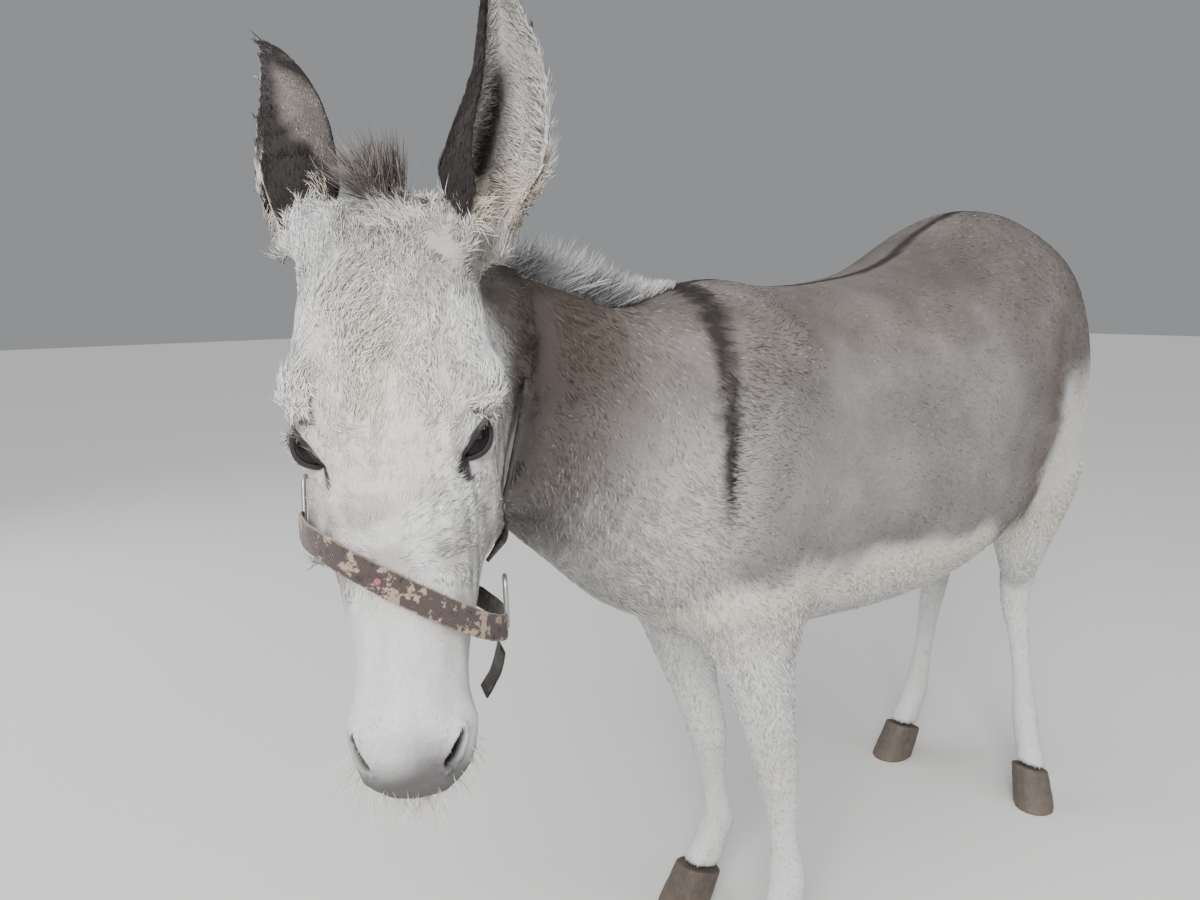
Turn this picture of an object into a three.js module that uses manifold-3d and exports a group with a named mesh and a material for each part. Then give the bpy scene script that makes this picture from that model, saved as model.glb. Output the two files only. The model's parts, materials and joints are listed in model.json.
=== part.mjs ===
// A standing donkey in a webbing headcollar, life size, as closed solids in millimetres.
// +X is the donkey's left side, -Y is forward, +Z is up, and the soles stand on Z = 0.
// The flesh is one smooth field of swept limbs and muscle masses. It is meshed region by region
// and parted by thin plane cuts, so that neighbouring nodes meet without overlapping.
import * as THREE from "three";
import { mergeVertices } from "three/addons/utils/BufferGeometryUtils.js";
import { edgeTable, triTable } from "three/addons/objects/MarchingCubes.js";
import Module from "manifold-3d";

const wasm = await Module();
wasm.setup();

// ---------- driving dimensions ----------
const witherHeight = 1026;
const croupHeight = 1160;
const girthHalfWidth = 190;
const barrelHalfWidth = 222;
const pollPoint = [128, -944, 1066]; // top of the skull between the ears
const headTurn = { pitch: -9.7, roll: -1.5, yaw: 57.2 }; // degrees
const headScale = 1.01;
const gap = 0.35; // clearance between nodes that meet

const coatColours = {
  grey: 0x8f8680,
  white: 0xd9d4cc,
  cream: 0xd8c8b0,
  dark: 0x3a3431,
  hoof: 0x3b3a3c,
  eye: 0x17110e,
};

// ---------- fields: signed distances, negative inside ----------
const scratch = new THREE.Vector3();
const bounded = (bounds, field) => Object.assign(field, { bounds });

// An elliptical section swept along a smooth spine. A station is [x, y, z, across, front, back].
function sweep(stations, { side, front, power = 2, caps = [0, 0], detail = 6 }) {
  const spine = new THREE.CatmullRomCurve3(stations.map((s) => new THREE.Vector3(s[0], s[1], s[2])));
  const sizes = new THREE.CatmullRomCurve3(stations.map((s) => new THREE.Vector3(s[3], s[4], s[5])));
  spine.curveType = sizes.curveType = "catmullrom";
  const count = (stations.length - 1) * detail;
  const samples = Array.from({ length: count + 1 }, (_, i) => {
    const t = i / count;
    const along = spine.getTangent(t);
    const sideways = new THREE.Vector3(...side);
    sideways.addScaledVector(along, -along.dot(sideways)).normalize();
    const forward = new THREE.Vector3().crossVectors(along, sideways);
    if (forward.dot(scratch.set(...front)) < 0) forward.negate();
    return { at: spine.getPoint(t), size: sizes.getPoint(t), along, sideways, forward };
  });
  const axisPoint = new THREE.Vector3();
  const offset = new THREE.Vector3();
  const bounds = new THREE.Sphere().setFromPoints(samples.map((s) => s.at));
  bounds.radius += Math.max(...caps, ...stations.flatMap((s) => s.slice(3)));
  return bounded(bounds, (q) => {
    let near = 0;
    let nearest = Infinity;
    for (let i = 0; i <= count; i++) {
      const d = q.distanceToSquared(samples[i].at);
      if (d < nearest) {
        nearest = d;
        near = i;
      }
    }
    const ahead = offset.subVectors(q, samples[near].at).dot(samples[near].along) > 0 ? near : near - 1;
    const from = samples[Math.min(Math.max(ahead, 0), count - 1)];
    const to = samples[Math.min(Math.max(ahead, 0), count - 1) + 1];
    axisPoint.subVectors(to.at, from.at);
    const length = axisPoint.length();
    const raw = offset.subVectors(q, from.at).dot(axisPoint) / (length * length);
    const t = Math.min(Math.max(raw, 0), 1);
    axisPoint.lerpVectors(from.at, to.at, t);
    offset.subVectors(q, axisPoint);
    const across = offset.dot(from.sideways) * (1 - t) + offset.dot(to.sideways) * t;
    const forward = offset.dot(from.forward) * (1 - t) + offset.dot(to.forward) * t;
    const beyond = raw < 0 && caps[0] ? -raw * length : raw > 1 && caps[1] ? (raw - 1) * length : 0;
    const size = scratch.lerpVectors(from.size, to.size, t);
    const u = Math.abs(across) / size.x;
    const v = Math.abs(forward) / (forward > 0 ? size.y : size.z);
    const w = beyond / (raw < 0 ? caps[0] : caps[1]) || 0;
    const reach = Math.hypot(across, forward, beyond);
    const share = (u ** power + v ** power + w ** power) ** (1 / power);
    if (share < 1e-6) return -Math.min(size.x, size.y, size.z);
    return reach * (1 - 1 / share);
  });
}

// An ellipsoid of muscle or bone, turned by Euler degrees.
function mass(at, radii, turn = [0, 0, 0]) {
  const centre = new THREE.Vector3(...at);
  const back = new THREE.Matrix4()
    .makeRotationFromEuler(new THREE.Euler(...turn.map(THREE.MathUtils.degToRad)))
    .invert();
  const local = new THREE.Vector3();
  return bounded(new THREE.Sphere(centre, Math.max(...radii)), (q) => {
    local.subVectors(q, centre);
    const reach = local.length();
    local.applyMatrix4(back);
    const share = Math.hypot(local.x / radii[0], local.y / radii[1], local.z / radii[2]);
    return share < 1e-6 ? -Math.min(...radii) : reach * (1 - 1 / share);
  });
}

const blendIn = (a, b, width) => {
  const overlap = Math.max(width - Math.abs(a - b), 0) / width;
  return Math.min(a, b) - overlap ** 2 * (width / 4);
};
const carveOut = (a, b, width) => -blendIn(-a, b, width);

// Joins parts of [field, width] in turn, and cuts those marked with a minus width.
function build(parts) {
  return (q) => {
    let value = 1e4;
    for (const [field, width] of parts) {
      const away = field.bounds ? q.distanceTo(field.bounds.center) - field.bounds.radius : -1e4;
      if (away > (width > 0 ? Math.min(value, 200) + width : -width - Math.max(value, -200))) continue;
      value = width > 0 ? blendIn(value, field(q), width) : carveOut(value, field(q), -width);
    }
    return value;
  };
}

const bothSides = (make) => [1, -1].map(make);

// ---------- trunk ----------
function trunkParts() {
  const section = (y, top, widest, bottom, half) => [0, y, widest, half, top - widest, widest - bottom];
  const barrel = sweep(
    [
      section(-575, 850, 725, 588, 104),
      section(-510, 965, 740, 524, 150),
      section(-415, witherHeight, 760, 500, 178),
      section(-290, 1020, 765, 500, girthHalfWidth),
      section(-130, 1030, 765, 488, barrelHalfWidth - 8),
      section(30, 1058, 768, 490, barrelHalfWidth),
      section(170, 1108, 790, 522, 214),
      section(300, croupHeight, 825, 585, 198),
      section(412, 1122, 835, 650, 158),
      section(492, 1034, 840, 690, 112),
      section(535, 950, 845, 730, 74),
    ],
    { side: [1, 0, 0], front: [0, 0, 1], power: 2.25, caps: [48, 34] },
  );
  const shoulders = bothSides((s) => mass([s * 112, -462, 790], [74, 92, 205], [-20, s * 9, 0]));
  const arms = bothSides((s) => mass([s * 116, -446, 660], [64, 100, 92], [24, 0, 0]));
  const haunches = bothSides((s) => mass([s * 98, 362, 880], [83, 145, 200], [14, s * 6, 0]));
  return [
    [barrel, 1],
    ...shoulders.map((m) => [m, 60]),
    ...arms.map((m) => [m, 55]),
    ...haunches.map((m) => [m, 70]),
  ];
}

// ---------- legs: [x, y, z] of each joint, with the same thicknesses on every leg ----------
const foreJoints = (elbow, knee, fetlock, sole) => ({ elbow, knee, fetlock, sole });
const hindJoints = (stifle, hock, fetlock, sole) => ({ stifle, hock, fetlock, sole });
const legs = {
  fore_left: foreJoints([108, -432, 600], [112, -364, 328], [109, -330, 142], [112, -388, 0]),
  fore_right: foreJoints([-100, -392, 600], [-54, -330, 318], [-72, -284, 144], [-102, -332, 0]),
  hind_left: hindJoints([114, 335, 640], [46, 464, 402], [92, 446, 135], [140, 400, 0]),
  hind_right: hindJoints([-118, 318, 640], [-114, 432, 405], [-146, 430, 134], [-158, 370, 0]),
};
const coronetHeight = 64;
const mix = (a, b, t) => a.map((x, i) => x + (b[i] - x) * t);

function footStations({ fetlock, sole }) {
  const coronet = mix(sole, fetlock, coronetHeight / fetlock[2]);
  return [
    [...mix(fetlock, coronet, 0.5), 29, 30, 36],
    [...coronet, 36, 40, 46],
    [...mix(sole, fetlock, 0.15), 38, 44, 46],
  ];
}

function foreLeg(joint) {
  const { elbow, knee, fetlock } = joint;
  return sweep(
    [
      [elbow[0], elbow[1] - 20, elbow[2] + 80, 62, 78, 86],
      [...elbow, 60, 74, 76],
      [...mix(elbow, knee, 0.4), 52, 58, 62],
      [...mix(elbow, knee, 0.75), 40, 42, 45],
      [...knee, 37, 36, 38],
      [...mix(knee, fetlock, 0.28), 28, 29, 34],
      [...mix(knee, fetlock, 0.62), 25, 26, 31],
      [...fetlock, 32, 33, 38],
      ...footStations(joint),
    ],
    { side: [1, 0, 0], front: [0, -1, 0], caps: [60, 20] },
  );
}

function hindLeg(joint) {
  const { stifle, hock, fetlock } = joint;
  const s = Math.sign(stifle[0]);
  return sweep(
    [
      [s * 100, 384, 850, 70, 136, 112],
      [s * 106, 380, 745, 73, 148, 126],
      [s * 110, 376, 650, 69, 138, 134],
      [...mix(stifle, hock, 0.36).map((x, i) => x + [0, 14, 0][i]), 56, 96, 98],
      [...mix(stifle, hock, 0.66).map((x, i) => x + [0, 10, 0][i]), 43, 66, 76],
      [hock[0], hock[1] + 4, hock[2] + 50, 37, 50, 62],
      [hock[0], hock[1], hock[2] + 8, 36, 44, 42],
      [hock[0], hock[1] - 2, hock[2] - 32, 31, 38, 34],
      [...mix(hock, fetlock, 0.35), 27, 30, 31],
      [...mix(hock, fetlock, 0.68), 25, 27, 30],
      [...fetlock, 32, 33, 37],
      ...footStations(joint),
    ],
    { side: [1, 0, 0], front: [0, -1, 0], caps: [90, 20] },
  );
}

// ---------- head: its own frame has Z up the face, -Y out of the forehead and +X to the left ----------
const headFrame = new THREE.Matrix4().compose(
  new THREE.Vector3(...pollPoint),
  new THREE.Quaternion().setFromEuler(
    new THREE.Euler(
      ...[headTurn.pitch, headTurn.roll, headTurn.yaw].map(THREE.MathUtils.degToRad),
      "ZYX",
    ),
  ),
  new THREE.Vector3(headScale, headScale, headScale),
);
const headInverse = headFrame.clone().invert();
const fromHead = (x, y, z) => new THREE.Vector3(x, y, z).applyMatrix4(headFrame);

const eyeCentre = (s) => [s * 62, -41, -187];
const eyeRadius = 22;

function headField() {
  const slice = (z, dorsal, centre, ventral, half, aside = 0) => [
    ...[aside, centre, z],
    ...[half, centre - dorsal, ventral - centre],
  ];
  const skull = sweep(
    [
      slice(-18, -40, 24, 92, 66),
      slice(-75, -76, 10, 98, 84),
      slice(-135, -92, -4, 84, 88, 2),
      slice(-195, -98, -14, 62, 84, 5),
      slice(-255, -99, -26, 40, 72, 7),
      slice(-320, -100, -40, 10, 58, 7),
      slice(-380, -102, -54, -8, 47, 5),
      slice(-425, -106, -60, -8, 48, 4),
      slice(-455, -98, -62, -20, 41, 3),
    ],
    { side: [1, 0, 0], front: [0, -1, 0], power: 2.3, caps: [34, 24] },
  );
  const jaw = sweep(
    [
      [2, 84, -80, 56, 44, 46],
      [3, 90, -140, 62, 44, 46],
      [5, 72, -210, 62, 42, 40],
      [6, 42, -285, 50, 36, 32],
      [5, 12, -350, 38, 28, 25],
      [3, -8, -405, 34, 24, 22],
      [2, -20, -438, 32, 24, 22],
    ],
    { side: [1, 0, 0], front: [0, -1, 0], power: 2.2, caps: [30, 18] },
  );
  const parts = [
    [skull, 1],
    [jaw, 26],
    ...bothSides((s) => [mass([5 + s * 60, 52, -198], [32, 56, 104], [16, 0, 0]), 24]),
    ...bothSides((s) => [mass([2 + s * 72, -50, -150], [24, 24, 30], [0, s * 14, 0]), 20]),
    ...bothSides((s) => [mass([5 + s * 70, -24, -240], [14, 18, 60], [6, s * -10, 0]), 18]),
    ...bothSides((s) => [mass([5 + s * 39, -74, -425], [16, 24, 32], [10, 0, 0]), 14]),
    [mass([2, -26, -452], [29, 26, 20]), 16],
    ...bothSides((s) => [mass([s * 58, 8, -8], [30, 34, 34]), 30]),
    ...bothSides((s) => [mass([s * 62, -78, -110], [15, 16, 26]), -16]),
    ...bothSides((s) => [mass([s * 84, -63, -190], [23, 31, 24], [0, 0, s * -48]), -10]),
    ...bothSides((s) => [mass([5 + s * 49, -87, -430], [13, 8, 21], [0, s * 16, s * 34]), -7]),
  ];
  const local = build(parts);
  const p = new THREE.Vector3();
  const bounds = new THREE.Sphere(fromHead(0, 0, -230), 300);
  return bounded(bounds, (q) => local(p.copy(q).applyMatrix4(headInverse)) * headScale);
}

// ---------- neck ----------
const crest = [
  [0, -400, 800, 128, 208, 236],
  [4, -520, 806, 118, 186, 220],
  [22, -640, 846, 100, 160, 178],
  [58, -745, 892, 86, 142, 146],
  [92, -838, 930, 76, 122, 118],
];
const neck = sweep(crest, { side: [1, 0, 0], front: [0, 0, 1], power: 2.1, caps: [60, 60] });

const head = headField();
const body = build([
  ...trunkParts(),
  [neck, 70],
  [head, 34],
  ...["fore_left", "fore_right"].map((k) => [foreLeg(legs[k]), 44]),
  ...["hind_left", "hind_right"].map((k) => [hindLeg(legs[k]), 48]),
]);

// ---------- meshing ----------
const cubeCorners = [
  [0, 0, 0], [1, 0, 0], [1, 1, 0], [0, 1, 0], [0, 0, 1], [1, 0, 1], [1, 1, 1], [0, 1, 1],
];
const cubeEdges = [
  [0, 1], [1, 2], [2, 3], [3, 0], [4, 5], [5, 6], [6, 7], [7, 4], [0, 4], [1, 5], [2, 6], [3, 7],
];

function gradient(field, p, out) {
  const e = 0.5;
  const q = new THREE.Vector3();
  out.set(
    field(q.set(p.x + e, p.y, p.z)) - field(q.set(p.x - e, p.y, p.z)),
    field(q.set(p.x, p.y + e, p.z)) - field(q.set(p.x, p.y - e, p.z)),
    field(q.set(p.x, p.y, p.z + e)) - field(q.set(p.x, p.y, p.z - e)),
  );
  return out.divideScalar(2 * e);
}

// Meshes a field inside the box low..high on cubes of the given size. The grown solid has the same
// faces moved out by the gap, to cut whatever grows out of or lies on the flesh.
function polygonise(field, low, high, cells, toWorld = new THREE.Matrix4()) {
  const cell = Math.min(...cells);
  const counts = low.map((l, k) => Math.ceil((high[k] - l) / cells[k]));
  const strides = [1, counts[0] + 1, (counts[0] + 1) * (counts[1] + 1)];
  const values = new Float64Array(strides[2] * (counts[2] + 1));
  const p = new THREE.Vector3();
  const place = (i, j, k, out) =>
    out.set(low[0] + i * cells[0], low[1] + j * cells[1], low[2] + k * cells[2]);
  const least = cell * 0.08; // keeps crossings off the grid's corners, so no triangle is a sliver
  for (let k = 0; k <= counts[2]; k++)
    for (let j = 0; j <= counts[1]; j++)
      for (let i = 0; i <= counts[0]; i++) {
        const rim = i === 0 || j === 0 || k === 0 || i === counts[0] || j === counts[1] || k === counts[2];
        const d = field(place(i, j, k, p).applyMatrix4(toWorld));
        const kept = Math.abs(d) < least ? least * (d < 0 ? -1 : 1) : d;
        values[i + j * strides[1] + k * strides[2]] = rim ? Math.max(kept, cell / 2) : kept;
      }
  const vertices = [];
  const triangles = [];
  const known = new Map();
  const a = new THREE.Vector3();
  const b = new THREE.Vector3();
  const slope = new THREE.Vector3();
  const vertexOn = (i, j, k, edge) => {
    const [c0, c1] = cubeEdges[edge].map((c) => cubeCorners[c]);
    const ends = [c0, c1].map((c) => i + c[0] + (j + c[1]) * strides[1] + (k + c[2]) * strides[2]);
    const key = Math.min(...ends) * 1e8 + Math.max(...ends);
    if (known.has(key)) return known.get(key);
    const [v0, v1] = ends.map((e) => values[e]);
    place(i + c0[0], j + c0[1], k + c0[2], a);
    place(i + c1[0], j + c1[1], k + c1[2], b);
    a.lerp(b, Math.min(Math.max(v0 / (v0 - v1), 0.12), 0.88)).applyMatrix4(toWorld);
    for (let pass = 0; pass < 3; pass++) {
      const d = field(a);
      if (Math.abs(d) > cell * 0.6) break; // a rim vertex, which a plane cut removes
      gradient(field, a, slope);
      a.addScaledVector(slope, -d / Math.max(slope.lengthSq(), 0.25));
    }
    known.set(key, vertices.length / 3);
    vertices.push(a.x, a.y, a.z);
    return vertices.length / 3 - 1;
  };
  for (let k = 0; k < counts[2]; k++)
    for (let j = 0; j < counts[1]; j++)
      for (let i = 0; i < counts[0]; i++) {
        let code = 0;
        cubeCorners.forEach((c, n) => {
          if (values[i + c[0] + (j + c[1]) * strides[1] + (k + c[2]) * strides[2]] < 0) code |= 1 << n;
        });
        if (!edgeTable[code]) continue;
        for (let n = code * 16; triTable[n] !== -1; n += 3) {
          triangles.push(...[0, 1, 2].map((m) => vertexOn(i, j, k, triTable[n + m])));
        }
      }
  const grown = vertices.slice();
  for (let n = 0; n < vertices.length; n += 3) {
    gradient(field, a.fromArray(vertices, n), slope);
    a.addScaledVector(slope.normalize(), gap * 1.2).toArray(grown, n);
  }
  return { solid: toSolid(vertices, triangles), grown: toSolid(grown, triangles) };
}

function solidOf(geometry) {
  const bare = geometry.index ? geometry.toNonIndexed() : geometry.clone();
  bare.deleteAttribute("normal");
  bare.deleteAttribute("uv");
  const merged = mergeVertices(bare, 1e-3);
  return new wasm.Manifold(
    new wasm.Mesh({
      numProp: 3,
      vertProperties: merged.attributes.position.array,
      triVerts: new Uint32Array(merged.index.array),
    }),
  );
}

// A big block on the far side of a plane: everything that lies along normal from point.
function beyondPlane(point, normal, size = 3000) {
  const block = new THREE.BoxGeometry(size, size, size).translate(0, 0, size / 2);
  const turn = new THREE.Quaternion().setFromUnitVectors(
    new THREE.Vector3(0, 0, 1),
    new THREE.Vector3(...normal).normalize(),
  );
  return solidOf(block.applyQuaternion(turn).translate(...point));
}

function blockBetween(low, high) {
  const size = high.map((h, k) => h - low[k]);
  const centre = high.map((h, k) => (h + low[k]) / 2);
  return solidOf(new THREE.BoxGeometry(...size).translate(...centre));
}

// Keeps the half of a solid behind a plane, drawn back by half the gap.
function behind(solid, point, normal) {
  const unit = new THREE.Vector3(...normal).normalize();
  const moved = new THREE.Vector3(...point).addScaledVector(unit, -gap / 2);
  return solid.subtract(beyondPlane(moved.toArray(), normal));
}

const flip = (v) => v.map((x) => -x);

// The biggest body of a solid, which drops crumbs left by a cut.
function largest(solid) {
  return solid.decompose().sort((a, b) => b.volume() - a.volume())[0];
}

// ---------- the cuts between nodes ----------
const throatCut = { at: [84, -822, 940], normal: [0.42, -0.86, 0.1] };
const neckCut = { at: [0, -505, 800], normal: [0, -0.96, 0.28] };

// A leg is what lies under a slanted plane inside two boxes: one for its top and one for its foot.
function legWedge(s, low, high, at, slopes) {
  const box = (back, floor, top) =>
    blockBetween(
      [Math.min(s * low[0], s * high[0]), low[1], floor],
      [Math.max(s * low[0], s * high[0]), back, top],
    );
  const region = box(high[1], low[2], high[2]).add(box(high[1] + 120, low[2], 460));
  return { region, at: [s * at[0], at[1], at[2]], normal: [-s * slopes[0], -slopes[1], 1] };
}

const wedges = {};
for (const s of [1, -1]) {
  const name = s > 0 ? "left" : "right";
  wedges["fore_" + name] = legWedge(s, [2, -545, -10], [400, -300, 900], [60, -400, 528], [0.8, 0]);
  wedges["hind_" + name] = legWedge(s, [2, 205, -10], [400, 760, 900], [60, 250, 556], [0.7, 0.34]);
}

function legSolids(name) {
  const wedge = wedges[name];
  const { sole, fetlock } = legs[name];
  const s = Math.sign(sole[0]);
  const low = name.startsWith("fore") ? [0, -560, 20] : [0, 150, 20];
  const high = name.startsWith("fore") ? [320, -190, 760] : [330, 700, 860];
  const box = [
    [s > 0 ? low[0] - 12 : -high[0], low[1], low[2]],
    [s > 0 ? high[0] : -low[0] + 12, high[1], high[2]],
  ];
  const cells = name.startsWith("fore") ? [25, 25, 42] : [27, 32, 44];
  const flesh = polygonise(body, box[0], box[1], cells).solid;
  const upper = behind(flesh.intersect(wedge.region), wedge.at, wedge.normal);
  const cut = coronetPlane(sole, fetlock);
  const leg = largest(behind(upper, cut.at, cut.normal));
  return { leg, hoof: hoofSolid(sole, fetlock, cut) };
}

// The coronet drops towards the heel. The plane's normal points down out of the leg.
function coronetPlane(sole, fetlock) {
  const at = mix(sole, fetlock, coronetHeight / fetlock[2]);
  return { at, normal: [0, -0.3, -1] };
}

function ringLoft(rings) {
  const count = rings[0].length;
  const positions = rings.flat().flatMap((p) => [p.x, p.y, p.z]);
  const index = [];
  for (let r = 0; r + 1 < rings.length; r++)
    for (let i = 0; i < count; i++) {
      const a = r * count + i;
      const b = r * count + ((i + 1) % count);
      index.push(a, b, a + count, b, b + count, a + count);
    }
  return { positions, index, count };
}

function cappedLoft(rings, pairedCaps = false) {
  const { positions, index, count } = ringLoft(rings);
  const last = (rings.length - 1) * count;
  const face = (a, b, c, top) => (top ? index.push(a, b, c) : index.push(c, b, a));
  for (const [start, top] of [[0, false], [last, true]]) {
    if (pairedCaps) {
      for (let i = 0; i + 1 < count / 2; i++) {
        const [a, b, c, d] = [i, i + 1, count - 2 - i, count - 1 - i].map((x) => x + start);
        face(a, b, c, top);
        face(a, c, d, top);
      }
    } else {
      for (let i = 1; i + 1 < count; i++) face(start, start + i, start + i + 1, top);
    }
  }
  return toSolid(positions, index);
}

function toSolid(positions, index) {
  const geometry = new THREE.BufferGeometry();
  geometry.setAttribute("position", new THREE.Float32BufferAttribute(positions, 3));
  geometry.setIndex(index);
  const made = solidOf(geometry);
  if (made.volume() > 0) return made;
  const turned = index.map((_, n) => index[n - (n % 3) + [1, 0, 2][n % 3]]);
  geometry.setIndex(turned);
  return solidOf(geometry);
}

// An upright, narrow hoof with a flat sole and a slanted front wall.
function hoofSolid(sole, fetlock, cut) {
  const hoof = { width: 37, toe: 46, heel: 44, topShare: 0.9, segments: 16, height: 110 };
  const yaw = Math.atan2(sole[0] - fetlock[0], -(sole[1] - fetlock[1])) * 0.6;
  const ring = (z) => {
    const t = z / coronetHeight;
    const centre = mix(sole, fetlock, z / fetlock[2]);
    const share = 1 - (1 - hoof.topShare) * t;
    return Array.from({ length: hoof.segments }, (_, i) => {
      const angle = (i / hoof.segments) * 2 * Math.PI;
      const across = hoof.width * share * Math.sin(angle);
      const length = Math.cos(angle) > 0 ? hoof.toe : hoof.heel;
      const along = length * share * Math.sign(Math.cos(angle)) * Math.abs(Math.cos(angle)) ** 0.85;
      return new THREE.Vector3(
        centre[0] + across * Math.cos(yaw) + along * Math.sin(yaw),
        centre[1] + across * Math.sin(yaw) - along * Math.cos(yaw),
        z,
      );
    });
  };
  const wall = cappedLoft([0, hoof.height].map(ring));
  const lowered = new THREE.Vector3(...cut.normal).normalize();
  const top = new THREE.Vector3(...cut.at).addScaledVector(lowered, gap / 2);
  return wall.subtract(beyondPlane(top.toArray(), flip(cut.normal)));
}

// ---------- ears ----------
// A leaf-shaped shell, rolled to a funnel at its base. A station is [x, y, z, half width, spread],
// and facing is where its hollow looks.
function earSolid({ stations, facing }) {
  const ear = { rings: 10, arc: 5, wall: 9 };
  const spine = new THREE.CatmullRomCurve3(stations.map((s) => fromHead(...s)));
  const widths = new THREE.CatmullRomCurve3(stations.map((s) => new THREE.Vector3(s[3], s[4], 0)));
  const look = new THREE.Vector3(...facing).transformDirection(headFrame);
  const rings = Array.from({ length: ear.rings }, (_, r) => {
    const t = r / (ear.rings - 1);
    const along = spine.getTangent(t);
    const open = look.clone().addScaledVector(along, -look.dot(along)).normalize();
    const side = new THREE.Vector3().crossVectors(along, open);
    const { x: half, y: turned } = widths.getPoint(t);
    const spread = THREE.MathUtils.degToRad(turned);
    const radius = half / Math.sin(Math.min(spread, Math.PI / 2));
    const centre = spine.getPoint(t).addScaledVector(open, radius * 0.5);
    const arc = (reach) =>
      Array.from({ length: ear.arc + 1 }, (_, i) => {
        const angle = -spread + (2 * spread * i) / ear.arc;
        return centre
          .clone()
          .addScaledVector(side, reach * Math.sin(angle))
          .addScaledVector(open, -reach * Math.cos(angle));
      });
    const wall = Math.min(ear.wall, half * 0.7);
    return [...arc(radius), ...arc(radius - wall).reverse()];
  });
  return cappedLoft(rings, true);
}

const ears = {
  ear_left: {
    stations: [
      [60, 16, -34, 40, 160],
      [72, 16, 12, 48, 145],
      [91, 16, 66, 47, 122],
      [106, 18, 115, 41, 108],
      [110, 20, 165, 34, 96],
      [109, 22, 208, 24, 84],
      [106, 22, 246, 6, 70],
    ],
    facing: [0.5, -0.86, 0.1],
  },
  ear_right: {
    stations: [
      [-60, 16, -22, 36, 160],
      [-67, 30, 42, 41, 145],
      [-71, 58, 84, 43, 122],
      [-79, 90, 124, 40, 108],
      [-91, 118, 164, 34, 96],
      [-109, 142, 202, 24, 84],
      [-131, 158, 232, 7, 70],
    ],
    facing: [-0.6, 0.8, 0.1],
  },
};

// ---------- mane, forelock and tail ----------
function surfaceAlong(field, origin, direction, start = 0) {
  const p = new THREE.Vector3();
  let near = start;
  let far = start;
  while (field(p.copy(origin).addScaledVector(direction, far)) < 0) far += 8;
  for (let pass = 0; pass < 16; pass++) {
    const middle = (near + far) / 2;
    if (field(p.copy(origin).addScaledVector(direction, middle)) < 0) near = middle;
    else far = middle;
  }
  return origin.clone().addScaledVector(direction, near);
}

function maneSolid() {
  const mane = { rings: 7, root: 17, edge: 6, sunk: 16 };
  const heights = new THREE.CatmullRomCurve3(
    [5, 22, 38, 46, 48, 46, 38].map((h, i) => new THREE.Vector3(i, h, 0)),
  );
  const line = new THREE.CatmullRomCurve3(crest.map((c) => new THREE.Vector3(c[0], c[1], c[2])));
  const rings = Array.from({ length: mane.rings }, (_, i) => {
    const t = 0.3 + (0.69 * i) / (mane.rings - 1);
    const axis = line.getPoint(t);
    const along = line.getTangent(t);
    const side = new THREE.Vector3(1, 0, 0).addScaledVector(along, -along.x).normalize();
    const up = new THREE.Vector3().crossVectors(side, along).normalize();
    if (up.z < 0) up.negate();
    const top = surfaceAlong(body, axis, up);
    const height = heights.getPoint(i / (mane.rings - 1)).y;
    const point = (u, v) => top.clone().addScaledVector(side, u).addScaledVector(up, v);
    return [
      point(-mane.root, -mane.sunk),
      point(mane.root, -mane.sunk),
      point(mane.root * 0.8, height * 0.45),
      point(mane.edge, height),
      point(-mane.edge, height),
      point(-mane.root * 0.8, height * 0.45),
    ];
  });
  return cappedLoft(rings);
}

const forelock = (q) =>
  mass([3, -9, 42], [27, 20, 42], [4, 0, 0])(new THREE.Vector3().copy(q).applyMatrix4(headInverse));

const tail = sweep(
  [
    [0, 500, 1000, 34, 30, 30],
    [0, 560, 985, 32, 28, 28],
    [0, 606, 925, 27, 25, 25],
    [0, 622, 840, 23, 22, 22],
    [0, 620, 730, 22, 20, 20],
    [0, 612, 610, 28, 26, 26],
    [0, 606, 510, 32, 30, 30],
    [0, 604, 430, 18, 16, 16],
  ],
  { side: [1, 0, 0], front: [0, 1, 0], caps: [0, 40] },
);

// ---------- headcollar ----------
const strap = { width: 22, thick: 3 };

// A strap of webbing along world points, each with its outward normal.
function strapSolid(points, normals, extra = 0) {
  const count = points.length;
  const rings = points.map((p, i) => {
    const before = points[Math.max(i - 1, 0)];
    const after = points[Math.min(i + 1, count - 1)];
    const along = after.clone().sub(before).normalize();
    const out = normals[i].clone().addScaledVector(along, -normals[i].dot(along)).normalize();
    const side = new THREE.Vector3().crossVectors(along, out);
    const half = strap.width / 2 + extra;
    const corner = (u, v) => p.clone().addScaledVector(side, u).addScaledVector(out, v);
    const top = strap.thick + extra;
    return [corner(-half, -extra), corner(half, -extra), corner(half, top), corner(-half, top)];
  });
  return cappedLoft(rings);
}

const noseband = { centre: [4, -14, -303], half: 86, front: 92, back: 88, tilt: 31, power: 2.4 };

// A point of the noseband's loop. Angle 0 is the donkey's left and -90 the front of the nose.
function nosebandPoint(degrees) {
  const angle = THREE.MathUtils.degToRad(degrees);
  const [c, s] = [Math.cos(angle), Math.sin(angle)];
  const depth = s < 0 ? noseband.front : noseband.back;
  const { power } = noseband;
  const reach = (Math.abs(c) ** power + Math.abs(s) ** power) ** (-1 / power);
  const x = noseband.half * reach * c;
  const y = depth * reach * s;
  const drop = Math.tan(THREE.MathUtils.degToRad(noseband.tilt));
  return {
    at: fromHead(noseband.centre[0] + x, noseband.centre[1] + y, noseband.centre[2] - drop * x),
    out: new THREE.Vector3(x / noseband.half ** 2, y / depth ** 2, 0).transformDirection(headFrame),
  };
}

function nosebandArc(from, to, steps) {
  const angleAt = (i) => from + ((to - from) * i) / steps;
  const found = Array.from({ length: steps + 1 }, (_, i) => nosebandPoint(angleAt(i)));
  return strapSolid(found.map((f) => f.at), found.map((f) => f.out));
}

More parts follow.
